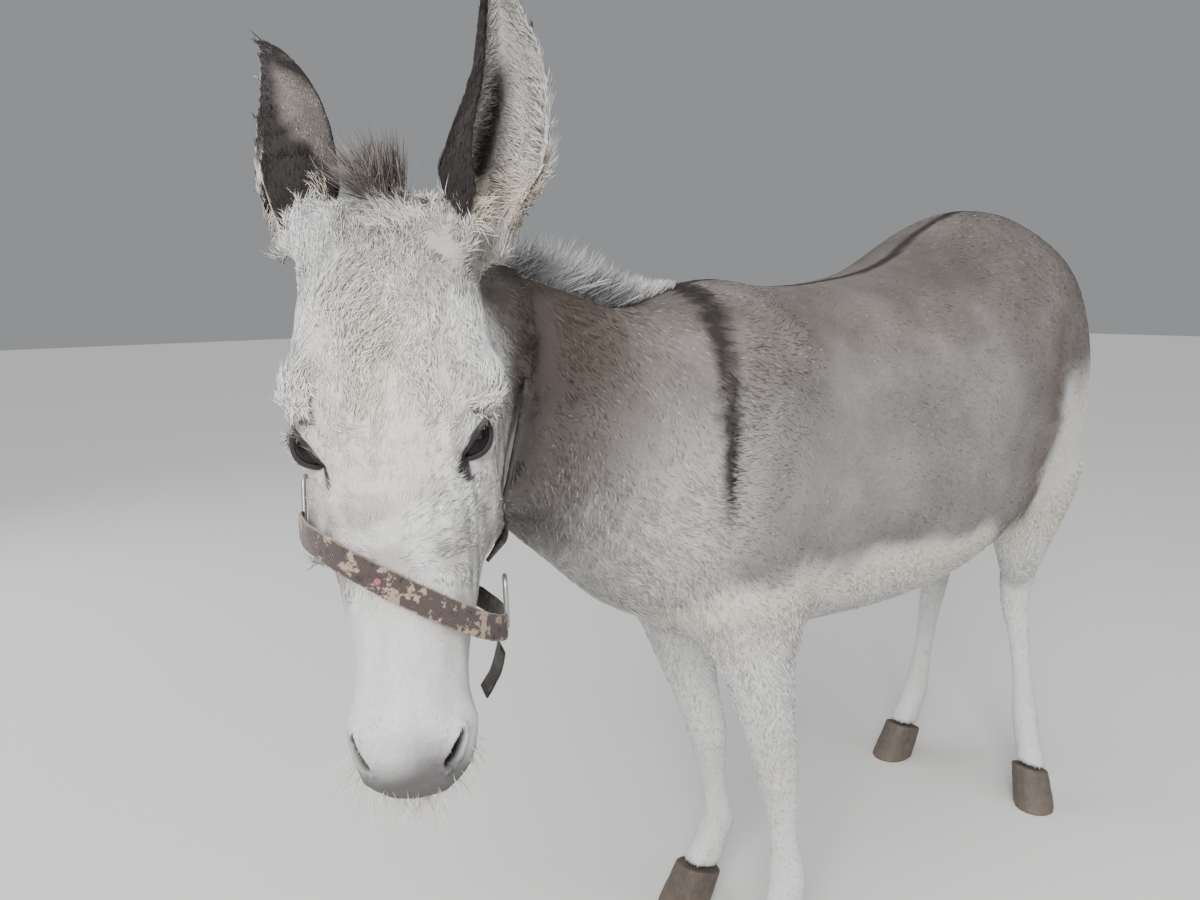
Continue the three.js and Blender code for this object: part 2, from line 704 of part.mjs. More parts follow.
// A rectangular ring of round wire, flat against the cheek.
function ringSolid(degrees) {
  const ring = { tall: 46, wide: 34, wire: 4, raised: 19 };
  const { at, out } = nosebandPoint(degrees);
  const next = nosebandPoint(degrees + 3).at.sub(at).normalize();
  const up = new THREE.Vector3().crossVectors(out, next).normalize();
  const frame = new THREE.Matrix4().makeBasis(next, up, new THREE.Vector3().crossVectors(next, up));
  const outer = new THREE.Shape();
  const [w, h] = [ring.wide / 2, ring.tall / 2];
  outer.moveTo(-w, -h).lineTo(w, -h).lineTo(w, h).lineTo(-w, h).closePath();
  const hole = new THREE.Path();
  const [iw, ih] = [w - ring.wire, h - ring.wire];
  hole.moveTo(-iw, -ih).lineTo(-iw, ih).lineTo(iw, ih).lineTo(iw, -ih).closePath();
  outer.holes.push(hole);
  const made = new THREE.ExtrudeGeometry(outer, { depth: ring.wire, bevelEnabled: false });
  frame.setPosition(at);
  return solidOf(made.translate(0, ring.raised, 0).applyMatrix4(frame));
}

// A strap that lies on the flesh: points in the head's frame are pressed onto the surface.
function lyingStrap(points, steps, extra = 0, lift = 4) {
  const line = new THREE.CatmullRomCurve3(points.map((p) => fromHead(...p)));
  const slope = new THREE.Vector3();
  const laid = Array.from({ length: steps + 1 }, (_, i) => {
    const p = line.getPointAt(i / steps);
    for (let pass = 0; pass < 8; pass++) {
      gradient(body, p, slope);
      p.addScaledVector(slope, (lift - body(p)) / Math.max(slope.lengthSq(), 0.25));
    }
    return { at: p, out: gradient(body, p, new THREE.Vector3()).normalize() };
  });
  return strapSolid(laid.map((f) => f.at), laid.map((f) => f.out), extra);
}

// The spare end of the jaw strap, hanging below its left ring.
function hangingEnd() {
  const stations = [[78, 8, -378], [74, 16, -394], [68, 22, -408], [60, 26, -420]];
  const path = stations.map((p) => fromHead(...p));
  const out = new THREE.Vector3(0.9, 0.1, 0.35).transformDirection(headFrame);
  return strapSolid(path, path.map(() => out));
}

// ---------- assembly ----------
const model = new THREE.Group();

function addNode(name, solid, colour, roughness = 0.85, metalness = 0) {
  const { vertProperties, triVerts, numProp } = solid.getMesh();
  const positions = new Float32Array((vertProperties.length / numProp) * 3);
  for (let i = 0; i < positions.length / 3; i++)
    positions.set(vertProperties.subarray(i * numProp, i * numProp + 3), i * 3);
  const geometry = new THREE.BufferGeometry();
  geometry.setAttribute("position", new THREE.BufferAttribute(positions, 3));
  geometry.setIndex(new THREE.BufferAttribute(new Uint32Array(triVerts), 1));
  const material = new THREE.MeshStandardMaterial({ color: colour, roughness, metalness });
  const mesh = new THREE.Mesh(geometry, material);
  mesh.name = name;
  model.add(mesh);
}

function eyeBall(s, extra) {
  const ball = new THREE.SphereGeometry(eyeRadius * headScale + extra, 11, 8);
  return solidOf(ball.translate(...fromHead(...eyeCentre(s)).toArray()));
}

// The head is meshed on cubes set square to its own frame.
const rawHead = polygonise(body, [-118, -140, -505], [118, 190, 70], [21, 21, 23], headFrame);
let headSolid = behind(rawHead.solid, throatCut.at, flip(throatCut.normal));
bothSides((s) => (headSolid = headSolid.subtract(eyeBall(s, 0.6))));
addNode("head", largest(headSolid), coatColours.white);

const rawNeck = polygonise(body, [-190, -990, 520], [300, -420, 1160], [44, 48, 44]);
const neckFront = behind(rawNeck.solid, throatCut.at, throatCut.normal);
addNode("neck", largest(behind(neckFront, neckCut.at, flip(neckCut.normal))), coatColours.grey);

const rawTrunk = polygonise(body, [-290, -720, 430], [290, 690, 1220], [54, 66, 54]);
let trunkSolid = behind(rawTrunk.solid, neckCut.at, neckCut.normal);
for (const wedge of Object.values(wedges)) {
  const unit = new THREE.Vector3(...wedge.normal).normalize();
  const moved = new THREE.Vector3(...wedge.at).addScaledVector(unit, gap / 2);
  trunkSolid = trunkSolid.subtract(wedge.region.subtract(beyondPlane(moved.toArray(), wedge.normal)));
}
addNode("trunk", largest(trunkSolid), coatColours.grey);

for (const name of Object.keys(legs)) {
  const { leg, hoof } = legSolids(name);
  addNode("leg_" + name, leg, coatColours.white);
  addNode("hoof_" + name, hoof, coatColours.hoof, 0.6);
}

bothSides((s) => addNode(s > 0 ? "eye_left" : "eye_right", eyeBall(s, 0), coatColours.eye, 0.1));

for (const [name, ear] of Object.entries(ears)) {
  addNode(name, largest(earSolid(ear).subtract(rawHead.grown)), coatColours.cream);
}
const webbing = 0x4d4037;
const dullSteel = [0x77736c, 0.45, 0.8];
const clear = (solid) => largest(solid.subtract(rawHead.grown).subtract(rawNeck.grown));
addNode("noseband", clear(nosebandArc(-166, -14, 14)), webbing);
addNode("strap_jaw", clear(nosebandArc(14, 166, 10)), webbing);
bothSides((s) => {
  const ring = clear(ringSolid(s > 0 ? 0 : 180));
  addNode(s > 0 ? "ring_left" : "ring_right", ring, ...dullSteel);
});
// From above each side ring, up the edge of the jaw to behind the ear.
function cheekPath(s) {
  const [lowest, step] = [-252 - 52 * s, 40 + 13 * s];
  const outline = [[84, -6], [95, 24], [98, 50], [93, 72], [88, 88]];
  return outline.map(([x, y], i) => [s * x + 4, y, lowest + i * step]);
}
const crownPath = [
  [89, 92, -76],
  [84, 98, -30],
  [44, 92, 12],
  [0, 84, 24],
  [-46, 100, 6],
  [-80, 112, -36],
  [-88, 104, -80],
];
addNode("strap_end", clear(hangingEnd()), webbing);
bothSides((s) => {
  const name = s > 0 ? "strap_cheek_left" : "strap_cheek_right";
  addNode(name, clear(lyingStrap(cheekPath(s), 9)), webbing);
});

addNode("strap_crown", clear(lyingStrap(crownPath, 12)), webbing);

const underHair = [rawNeck.grown, rawHead.grown, rawTrunk.grown, lyingStrap(crownPath, 12, gap)];
const hair = underHair.reduce((left, part) => left.subtract(part), maneSolid());
addNode("mane", largest(hair), coatColours.white);
const lock = polygonise(forelock, [-40, -50, -30], [40, 30, 92], [18, 18, 22], headFrame).solid;
addNode("forelock", largest(lock.subtract(rawHead.grown).subtract(rawNeck.grown)), coatColours.dark);
const switchSolid = polygonise(tail, [-60, 470, 360], [60, 680, 1060], [26, 28, 52]).solid;
addNode("tail", largest(switchSolid.subtract(rawTrunk.grown)), coatColours.grey);

// The origin is the middle of the whole model's footprint, at the level of the soles.
const middle = new THREE.Box3().setFromObject(model).getCenter(new THREE.Vector3());
model.position.set(-middle.x, -middle.y, 0);
export default model;
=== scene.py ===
import json
import math

import bpy
import numpy as np
from mathutils import Euler, Matrix, Vector
from mathutils.bvhtree import BVHTree
from mathutils.kdtree import KDTree

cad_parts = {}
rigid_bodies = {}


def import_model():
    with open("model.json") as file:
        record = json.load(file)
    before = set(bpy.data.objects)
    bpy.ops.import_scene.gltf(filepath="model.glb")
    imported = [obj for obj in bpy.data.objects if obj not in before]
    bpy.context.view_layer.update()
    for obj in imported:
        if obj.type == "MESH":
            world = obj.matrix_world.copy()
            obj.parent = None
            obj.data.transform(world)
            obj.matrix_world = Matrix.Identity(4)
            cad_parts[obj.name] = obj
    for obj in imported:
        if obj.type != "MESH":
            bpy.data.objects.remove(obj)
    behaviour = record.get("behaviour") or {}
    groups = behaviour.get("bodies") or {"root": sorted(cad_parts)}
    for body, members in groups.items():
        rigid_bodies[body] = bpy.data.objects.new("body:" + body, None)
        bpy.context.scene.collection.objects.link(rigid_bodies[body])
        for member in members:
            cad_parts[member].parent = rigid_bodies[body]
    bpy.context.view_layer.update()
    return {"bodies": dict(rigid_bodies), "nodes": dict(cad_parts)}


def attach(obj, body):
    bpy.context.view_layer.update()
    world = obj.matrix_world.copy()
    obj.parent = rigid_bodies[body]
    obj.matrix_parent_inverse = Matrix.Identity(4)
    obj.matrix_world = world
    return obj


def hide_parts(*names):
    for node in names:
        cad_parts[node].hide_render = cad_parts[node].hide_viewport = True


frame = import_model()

nodes = frame["nodes"]
body = list(frame["bodies"])[0]
midX = -0.03865  # the trunk's median plane
flesh = ["head", "neck", "trunk", "leg_fore_left", "leg_fore_right", "leg_hind_left",
         "leg_hind_right", "ear_left", "ear_right", "tail"]
legs = flesh[3:7]
sides = ((1, "left"), (-1, "right"))
print("frame loaded:", len(nodes), "nodes")


# working on meshes
def clearSelection():
    if bpy.context.mode != "OBJECT":
        bpy.ops.object.mode_set(mode="OBJECT")
    bpy.ops.object.select_all(action="DESELECT")


def pick(obj):
    clearSelection()
    obj.select_set(True)
    bpy.context.view_layer.objects.active = obj


def applyModifier(obj, kind, **settings):
    modifier = obj.modifiers.new(kind.title(), kind)
    for key, value in settings.items():
        setattr(modifier, key, value)
    pick(obj)
    bpy.ops.object.modifier_apply(modifier=modifier.name)


def editAll(obj, operator, **settings):  # runs one edit mode operator on the whole mesh
    pick(obj)
    bpy.ops.object.mode_set(mode="EDIT")
    bpy.ops.mesh.select_all(action="SELECT")
    operator(**settings)
    bpy.ops.object.mode_set(mode="OBJECT")


def addObject(name, data):
    made = bpy.data.objects.new(name, data)
    bpy.context.collection.objects.link(made)
    return made


def finishPiece(piece, paint, slotName, *replaced):
    piece.data.materials.clear()
    piece.data.materials.append(paint)
    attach(piece, body)
    if replaced:
        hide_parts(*replaced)


def readAll(items, key, kind=float, across=3):
    found = np.empty(len(items) * across, kind)
    items.foreach_get(key, found)
    return found.reshape(-1, across)


def pointsOf(mesh):
    return readAll(mesh.vertices, "co")


def normalsOf(mesh):
    return readAll(mesh.vertex_normals, "vector")


def movePoints(mesh, points):
    mesh.vertices.foreach_set("co", points.ravel())
    mesh.update()


def storeColour(mesh, name, values):
    layer = mesh.attributes.new(name, "FLOAT_COLOR", "POINT")
    layer.data.foreach_set("color", np.ascontiguousarray(values, np.float32).ravel())


def storeVector(mesh, name, values):
    layer = mesh.attributes.new(name, "FLOAT_VECTOR", "POINT")
    layer.data.foreach_set("vector", np.ascontiguousarray(values, np.float32).ravel())


# shaping values
def smooth(low, high, value):  # 0 at low, 1 at high
    t = np.clip((value - low) / (high - low), 0, 1)
    return t * t * (3 - 2 * t)


def bump(value, width):  # 1 at 0, fading on both sides
    return np.exp(-((value / width) ** 2))


def unit(v):
    return v / np.maximum(np.linalg.norm(v, axis=-1, keepdims=True), 1e-9)


def onSurface(lies, ways):  # turns directions down onto the surface
    return lies - ways * (lies * ways).sum(1)[:, None]


def distance(points, place):
    return np.linalg.norm(points - np.array(place, float), axis=1)


def ripple(points, scale, seed):  # smooth made-up noise of about -1 to 1
    rng = np.random.default_rng(seed)
    total = np.zeros(len(points))
    for k in range(7):
        wave = unit(rng.normal(size=3)) * scale * (0.7 + 0.22 * k)
        total += np.sin(points @ wave + rng.uniform(0, 6.28))
    return total / 2.4


# working on materials
def newMaterial(name, roughness, specular=0.3):
    paint = bpy.data.materials.new(name)
    paint.use_nodes = True
    shader = paint.node_tree.nodes["Principled BSDF"]
    shader.inputs["Roughness"].default_value = roughness
    shader.inputs["Specular IOR Level"].default_value = specular
    return paint, paint.node_tree, shader


def put(tree, kind, **settings):
    node = tree.nodes.new(kind)
    for key, value in settings.items():
        setattr(node, key, value)
    return node


def plug(tree, source, node, socket):
    if isinstance(source, bpy.types.NodeSocket):
        tree.links.new(source, node.inputs[socket])
    else:
        node.inputs[socket].default_value = source


def mixColour(tree, factor, first, second, mode="MIX"):
    node = put(tree, "ShaderNodeMix", data_type="RGBA", blend_type=mode)
    plug(tree, factor, node, 0)
    for value, socket in ((first, 6), (second, 7)):
        plug(tree, (*value, 1) if isinstance(value, tuple) else value, node, socket)
    return node.outputs[2]


def sumOf(tree, kind, first, second=0.0, third=0.0, clamp=False):
    node = put(tree, "ShaderNodeMath", operation=kind, use_clamp=clamp)
    for socket, value in enumerate((first, second, third)):
        plug(tree, value, node, socket)
    return node.outputs[0]


def times(tree, first, second):
    return sumOf(tree, "MULTIPLY", first, second)


def scaled(tree, value, by, plus, clamp=False):
    return sumOf(tree, "MULTIPLY_ADD", value, by, plus, clamp)


def vectorOf(tree, kind, first, second):
    node = put(tree, "ShaderNodeVectorMath", operation=kind)
    plug(tree, first, node, 0)
    plug(tree, second, node, 1)
    return node.outputs


def noiseAt(tree, vector, scale, detail=3, rough=0.5):
    node = put(tree, "ShaderNodeTexNoise")
    plug(tree, vector, node, "Vector")
    for socket, value in (("Scale", scale), ("Detail", detail), ("Roughness", rough)):
        node.inputs[socket].default_value = value
    return node.outputs["Fac"]


def objectPlace(tree):
    return put(tree, "ShaderNodeTexCoord").outputs["Object"]


def attributeAt(tree, name, output="Color"):
    return put(tree, "ShaderNodeAttribute", attribute_name=name).outputs[output]


def split(tree, source, kind="Color"):  # the three channels of a colour, or axes of a vector
    node = put(tree, "ShaderNodeSeparate" + kind)
    plug(tree, source, node, 0)
    return node.outputs


def reliefOn(tree, shader, height, strength, depth):
    relief = put(tree, "ShaderNodeBump")
    relief.inputs["Strength"].default_value = strength
    relief.inputs["Distance"].default_value = depth
    plug(tree, height, relief, "Height")
    plug(tree, relief.outputs[0], shader, "Normal")


def startGroup(name, inputs, outputs):
    group = bpy.data.node_groups.new(name, "ShaderNodeTree")
    for words, way in ((inputs, "INPUT"), (outputs, "OUTPUT")):
        for label, kind in words.items():
            group.interface.new_socket(label, in_out=way, socket_type="NodeSocket" + kind)
    given = put(group, "NodeGroupInput").outputs if inputs else None
    return group, given, put(group, "NodeGroupOutput")


# the head's own frame, in millimetres: Z up the face, -Y out of the forehead, +X to the left
head = {"poll": (0.08935, -0.7337, 1.066), "turn": (-9.7, -1.5, 57.2), "scale": 0.00101}
headAxes = np.array(Euler([math.radians(a) for a in head["turn"]], "XYZ").to_matrix())
headPoll = np.array(head["poll"])


def fromHead(points):
    return np.asarray(points, float) @ headAxes.T * head["scale"] + headPoll


def toHead(points):
    return (points - headPoll) @ headAxes / head["scale"]


def headWay(vectors):
    return np.asarray(vectors, float) @ headAxes.T


# camera, floor and light
view = {
    "lens": 28.12,
    "at": (0.85835, -1.1377, 1.007),
    "right": (0.64558773, 0.76362753, -0.00945913),
    "up": (-0.12198118, 0.11533692, 0.98580829),
    "back": (0.75388134, -0.6352719, 0.16760828),
}
studio = {
    "floor": 40, "floorColour": (0.56, 0.555, 0.545, 1),
    "air": (0.66, 0.67, 0.69, 1), "airPower": 0.45,
    "sky": {"power": 2.3, "angle": 1.0, "turn": (0.35, 0.25, 0)},  # lights the floor to its far edge
    "target": (0, -0.1, 0.7),
    "lamps": {
        "keyLight": {"at": (2.3, -3.3, 2.6), "size": 1.8, "power": 280, "tint": (1, 0.99, 0.97)},
        "sideLight": {"at": (3.4, 1.2, 1.9), "size": 2.6, "power": 48, "tint": (0.97, 0.98, 1)},
        "farLight": {"at": (-3.0, -1.6, 2.2), "size": 2.4, "power": 60, "tint": (0.96, 0.98, 1)},
    },
}


def makeCamera():
    data = bpy.data.cameras.new("camera")
    data.lens, data.sensor_width, data.clip_start = view["lens"], 36, 0.05
    camera = addObject("camera", data)
    turn = Matrix([view["right"], view["up"], view["back"]]).transposed().to_4x4()
    camera.matrix_world = Matrix.Translation(view["at"]) @ turn
    bpy.context.scene.camera = camera


def makeFloor():
    clearSelection()
    bpy.ops.mesh.primitive_plane_add(size=studio["floor"], location=(0, 0, 0))
    floor = bpy.context.object
    floor.name = "floor"
    paint, _, shader = newMaterial("floorPaint", 0.9, 0.5)
    shader.inputs["Base Color"].default_value = studio["floorColour"]
    floor.data.materials.append(paint)


def makeLights():
    for name, lamp in studio["lamps"].items():
        light = bpy.data.lights.new(name, "AREA")
        light.size, light.energy, light.color = lamp["size"], lamp["power"], lamp["tint"]
        holder = addObject(name, light)
        holder.location = lamp["at"]
        aim = Vector(studio["target"]) - holder.location
        holder.rotation_euler = aim.to_track_quat("-Z", "Y").to_euler()
    sky = bpy.data.lights.new("skyLight", "SUN")
    sky.energy, sky.angle = studio["sky"]["power"], studio["sky"]["angle"]
    addObject("skyLight", sky).rotation_euler = studio["sky"]["turn"]
    world = bpy.data.worlds.new("studio")
    world.use_nodes = True
    air = world.node_tree.nodes["Background"].inputs
    air["Color"].default_value = studio["air"]
    air["Strength"].default_value = studio["airPower"]
    bpy.context.scene.world = world


makeCamera()
makeFloor()
makeLights()
print("stage made")

# ears: where they run, as in the solids: x, y, z, half width in the head's frame
ears = {
    "ear_left": {
        "line": [(60, 16, -34, 40), (72, 16, 12, 48), (91, 16, 66, 47), (106, 18, 115, 41),
                 (110, 20, 165, 34), (109, 22, 208, 24), (106, 22, 246, 6)],
        "facing": (0.5, -0.86, 0.1),
        "liningEdge": (0.95, 0.80),  # across, where the lining's hair ends
    },
    "ear_right": {
        "line": [(-60, 16, -22, 36), (-67, 30, 42, 41), (-71, 58, 84, 43), (-79, 90, 124, 40),
                 (-91, 118, 164, 34), (-109, 142, 202, 24), (-131, 158, 232, 7)],
        "facing": (-0.6, 0.8, 0.1),
        "liningEdge": (0.70, 0.50),
    },
}


def earPlace(name, points):  # share of the way up, share across, and the ear's own three axes
    local = toHead(points)
    line = np.array(ears[name]["line"], float)

    def lineAt(z):
        return np.stack([np.interp(z, line[:, 2], line[:, k]) for k in range(4)], 1)

    z = np.clip(local[:, 2], line[0, 2], line[-1, 2])
    here = lineAt(z)
    along = unit((lineAt(z + 20) - lineAt(z - 20))[:, :3])
    facing = unit(np.array(ears[name]["facing"]))
    opening = unit(facing - along * (along @ facing)[:, None])
    side = np.cross(along, opening)
    across = ((local - here[:, :3]) * side).sum(1) / here[:, 3]
    share = (local[:, 2] - line[0, 2]) / (line[-1, 2] - line[0, 2])
    return share, across, headWay(along), headWay(side), headWay(opening)


# skin
eye = {  # in the head's frame
    "centre": (58, -45, -190), "radius": 22.2, "long": (0.46, 0.42, 0.78), "look": (0.66, -0.71, -0.18),
    "halfLength": 23.0, "upper": 6.9, "lower": 6.6, "lid": 1.9,
}
skinSettings = {
    "swell": 0.0006,  # joins nodes that only touch
    "voxel": 0.0052,
    "socket": 0.0231,  # radius of the ball that fills it
    "broadPasses": 420, "finePasses": 9, "footPasses": 44,
    "kept": 0.34,  # share of the faces kept, mostly of the head, because the coat hides the rest
}
coatDepths = {  # metres from the skin to the tips
    "body": 0.0075, "shank": 0.0024, "thighMore": 0.0042, "ear": 0.0022, "tail": 0.006, "switchMore": 0.012,
    "muzzle": 0.0012, "noseMore": 0.0018, "browMore": 0.0030, "most": 0.02,
}


def copyNode(name):
    piece = addObject(name + "Copy", nodes[name].data.copy())
    piece.data.materials.clear()
    editAll(piece, bpy.ops.mesh.remove_doubles, threshold=0.00002)
    return piece


def treeOf(names):  # finds the nearest place on some nodes, and which of them it is on
    places, faces, owner = [], [], []
    for index, name in enumerate(names):
        mesh = nodes[name].data
        start = len(places)
        places += [v.co.copy() for v in mesh.vertices]
        for polygon in mesh.polygons:
            faces.append([start + v for v in polygon.vertices])
            owner.append(index)
    return BVHTree.FromPolygons(places, faces), np.array(owner)


nearFlesh, faceOwner = treeOf(flesh)
nearNeck, _ = treeOf(["neck"])


def ownerOf(points):
    return np.array([faceOwner[nearFlesh.find_nearest(p)[2]] for p in points.tolist()])


def isNode(owner, *names):
    return np.isin(owner, [flesh.index(n) for n in names])


def spread(values, mesh, passes):  # evens a value out over the mesh
    a, b = readAll(mesh.edges, "vertices", int, 2).T
    count = len(values)
    degree = np.bincount(a, minlength=count) + np.bincount(b, minlength=count)
    for _ in range(passes):
        total = np.bincount(a, values[b], count) + np.bincount(b, values[a], count)
        values = (values + total / np.maximum(degree, 1)) / 2
    return values


def weigh(obj, name, values):
    group = obj.vertex_groups.new(name=name)
    steps = np.round(np.clip(values, 0, 1) * 50).astype(int)
    for step in np.unique(steps):
        if step:
            group.add(np.nonzero(steps == step)[0].tolist(), step / 50, "REPLACE")


def coatDepth(points, owner):
    up, z = toHead(points)[:, 2], points[:, 2]
    depth = np.full(len(points), coatDepths["body"])
    leg = coatDepths["shank"] + coatDepths["thighMore"] * smooth(0.25, 0.55, z)
    face = (coatDepths["muzzle"] + coatDepths["noseMore"] * smooth(-430, -340, up)
            + coatDepths["browMore"] * smooth(-300, -150, up))
    tail = coatDepths["tail"] + coatDepths["switchMore"] * smooth(0.75, 0.6, z)
    depth = np.where(isNode(owner, *legs), leg, depth)
    depth = np.where(isNode(owner, "head"), face, depth)
    depth = np.where(isNode(owner, *ears), coatDepths["ear"], depth)
    return np.where(isNode(owner, "tail"), tail, depth)


def earFoot(points):  # 1 around the foot of each ear, where it runs into the head
    local, near = toHead(points), np.zeros(len(points))
    for name in ears:
        away = distance(local, ears[name]["line"][0][:3])
        near = np.maximum(near, smooth(84, 58, away) * smooth(0.17, 0.08, earPlace(name, points)[0]))
    return near


def makeSkin():
    copies = [copyNode(name) for name in flesh]
    for side, _ in sides:  # fills the sockets, which the lids reshape
        clearSelection()
        place = fromHead(np.array(eye["centre"]) * (side, 1, 1))
        bpy.ops.mesh.primitive_uv_sphere_add(
            segments=32, ring_count=16, radius=skinSettings["socket"], location=place)
        ball = bpy.context.object
        pick(ball)
        bpy.ops.object.transform_apply(location=True, rotation=True, scale=True)
        copies.append(ball)
    clearSelection()
    for piece in copies:
        piece.select_set(True)
    bpy.context.view_layer.objects.active = copies[0]
    bpy.ops.object.join()
    skin = bpy.context.object
    skin.name = skin.data.name = "skin"
    applyModifier(skin, "DISPLACE", strength=skinSettings["swell"], mid_level=0)
    applyModifier(skin, "REMESH", mode="VOXEL", voxel_size=skinSettings["voxel"])
    owner = ownerOf(pointsOf(skin.data))
    broad = np.where(isNode(owner, *legs), 0.22, isNode(owner, "trunk", "neck").astype(float))
    fine = np.where(isNode(owner, *ears), 0.45, 1.0)
    depth = coatDepth(pointsOf(skin.data), owner) / coatDepths["most"]
    weigh(skin, "broad", spread(broad, skin.data, 12))
    weigh(skin, "fine", spread(fine, skin.data, 4))
    weigh(skin, "depth", spread(depth, skin.data, 10))
    applyModifier(skin, "SMOOTH", factor=0.5, iterations=skinSettings["broadPasses"], vertex_group="broad")
    applyModifier(skin, "SMOOTH", factor=0.5, iterations=skinSettings["finePasses"], vertex_group="fine")
    weigh(skin, "foot", earFoot(pointsOf(skin.data)))
    applyModifier(skin, "SMOOTH", factor=0.5, iterations=skinSettings["footPasses"], vertex_group="foot")
    applyModifier(skin, "DISPLACE", strength=-coatDepths["most"], mid_level=0, vertex_group="depth")
    return skin


def thinBody(skin):  # fewer faces where the coat hides them
    keep = isNode(ownerOf(pointsOf(skin.data)), "head", *ears).astype(float)
    weigh(skin, "thin", 1 - spread(keep, skin.data, 6) * 0.9)
    applyModifier(skin, "DECIMATE", ratio=skinSettings["kept"], vertex_group="thin", vertex_group_factor=1.0)


skin = makeSkin()
print("skin joined:", len(skin.data.polygons), "faces")
thinBody(skin)
print("skin thinned:", len(skin.data.polygons), "faces")


# sculpted detail of the head
def refine(skin, balls):  # splits the faces inside some balls of the head's frame once
    mesh = skin.data
    local = toHead(readAll(mesh.polygons, "center"))
    near = np.zeros(len(local), bool)
    for centre, radius in balls:
        near |= distance(local, centre) < radius
    pick(skin)
    bpy.ops.object.mode_set(mode="EDIT")
    bpy.ops.mesh.select_mode(type="FACE")
    bpy.ops.mesh.select_all(action="DESELECT")
    bpy.ops.object.mode_set(mode="OBJECT")
    mesh.polygons.foreach_set("select", near)
    bpy.ops.object.mode_set(mode="EDIT")
    bpy.ops.mesh.subdivide(number_cuts=1, smoothness=0)
    bpy.ops.object.mode_set(mode="OBJECT")


def eyeAxes(side):  # centre, and the ways it looks, runs and opens
    flip = np.array([side, 1, 1])
    look = unit(np.array(eye["look"]) * flip)
    long = np.array(eye["long"]) * flip
    long = unit(long - look * (long @ look))
    up = np.cross(look, long) * side
    return np.array(eye["centre"]) * flip, look, long, up


def lidPlace(local, side):  # distance outside the opening, place along and across it, reach from the centre
    centre, look, long, up = eyeAxes(side)
    away = local - centre
    reach = np.linalg.norm(away, axis=1)
    way = away / np.maximum(reach, 1e-6)[:, None]
    u = eye["radius"] * np.arctan2(way @ long, way @ look)
    v = eye["radius"] * np.arctan2(way @ up, way @ look)
    share = np.clip(1 - (u / eye["halfLength"]) ** 2, 0, 1) ** 0.75
    edge = np.where(v > 0, eye["upper"], eye["lower"]) * share
    past = np.maximum(np.abs(u) - eye["halfLength"], 0)
    outside = np.where(past > 0, np.hypot(past, v), (np.abs(v) - edge) * 0.86)
    return outside, u, v, reach


def shapeLids(local):
    for side, _ in sides:
        centre, look, _, _ = eyeAxes(side)
        outside, u, v, reach = lidPlace(local, side)
        way = (local - centre) / np.maximum(reach, 1e-6)[:, None]
        near = (reach < 46) & (way @ look > 0.05)
        rim = eye["radius"] + eye["lid"] + 0.9 * bump(outside - 1.6, 1.6)
        inner = eye["radius"] - 5
        lid = inner + (rim - inner) * smooth(-1.6, 0.2, outside)
        target = lid + np.maximum(outside - 3, 0) * 0.16
        target = target - np.where(v > 0, 1.5, 0.8) * bump(outside - 7.5, 1.7) * (outside > 2)
        target = target + (reach - target) * smooth(4, 17, outside)
        brow = 4.2 * bump(outside - 13, 7) * smooth(0, 8, v)
        tear = 3.2 * bump(np.hypot((u + 25) / 6.5, (v + 1.5) / 2.4), 1)
        radius = np.where(near, target + brow - tear, reach)
        fade = smooth(46, 38, reach)[:, None]
        local = local + (centre + way * radius[:, None] - local) * np.where(near[:, None], fade, 0)
    return local


nostril = {  # in the head's frame; bend curls it in below, like a comma
    "at": {1: (36, -87, -431), -1: (-33, -84, -430)},  # left and right
    "run": (0.30, 0.10, 0.93), "out": (0.66, -0.74, -0.12),
    "long": 16.5, "wide": 7.2, "deep": 13, "bend": 3.5, "rim": 1.9,
}
mouth = {
    "line": [(47, -36, -392), (46, -41, -415), (40, -46, -443), (26, -50, -465), (0, -52, -474),
             (-20, -50, -466), (-34, -46, -443), (-40, -41, -415), (-41, -36, -392)],
    "groove": 3.4, "lips": 1.6, "wrinkles": 0.22, "centre": (3, -50, -455),
}


def nostrilPlace(local, side):  # distance outside its edge, depth along its axis, and the axis
    long = unit(np.array(nostril["run"]) * (side, 1, 1))
    out = unit(np.array(nostril["out"]) * (side, 1, 1))
    out = unit(out - long * (out @ long))
    wide = np.cross(long, out)
    away = local - np.array(nostril["at"][side], float)
    u, v = away @ long, away @ wide
    bend = v * side + nostril["bend"] * (u / nostril["long"]) ** 2
    share = np.clip(1 - (u / nostril["long"]) ** 2, 0, 1) ** 0.5
    width = nostril["wide"] * (0.72 + 0.4 * np.clip(-u / nostril["long"], -1, 1)) * share
    outside = np.where(np.abs(u) < nostril["long"], np.abs(bend) - width,
                       np.hypot(np.abs(u) - nostril["long"], bend))
    return outside, away @ out, out


def lineDistance(local, line):
    best = np.full(len(local), 1e9)
    for a, b in zip(np.array(line[:-1], float), np.array(line[1:], float)):
        t = np.clip((local - a) @ (b - a) / ((b - a) @ (b - a)), 0, 1)
        best = np.minimum(best, np.linalg.norm(local - a - t[:, None] * (b - a), axis=1))
    return best


def shapeMuzzle(local, ways):
    for side, _ in sides:
        outside, depth, out = nostrilPlace(local, side)
        near = (np.abs(depth) < 20) & (local[:, 2] < -395)
        pit = nostril["deep"] * smooth(1.2, -3.4, outside)
        rim = nostril["rim"] * bump(outside - 3.0, 2.4)
        local = local + np.where(near, rim - pit, 0)[:, None] * out
    groove = lineDistance(local, mouth["line"])
    lips = mouth["groove"] * bump(groove, 2.3) - mouth["lips"] * bump(groove - 7, 4)
    rough = ripple(local * (0.5, 1, 1.6), 0.32, 6) * smooth(-405, -435, local[:, 2]) * smooth(6, 14, groove)
    return local - ways * (lips + rough * mouth["wrinkles"])[:, None]


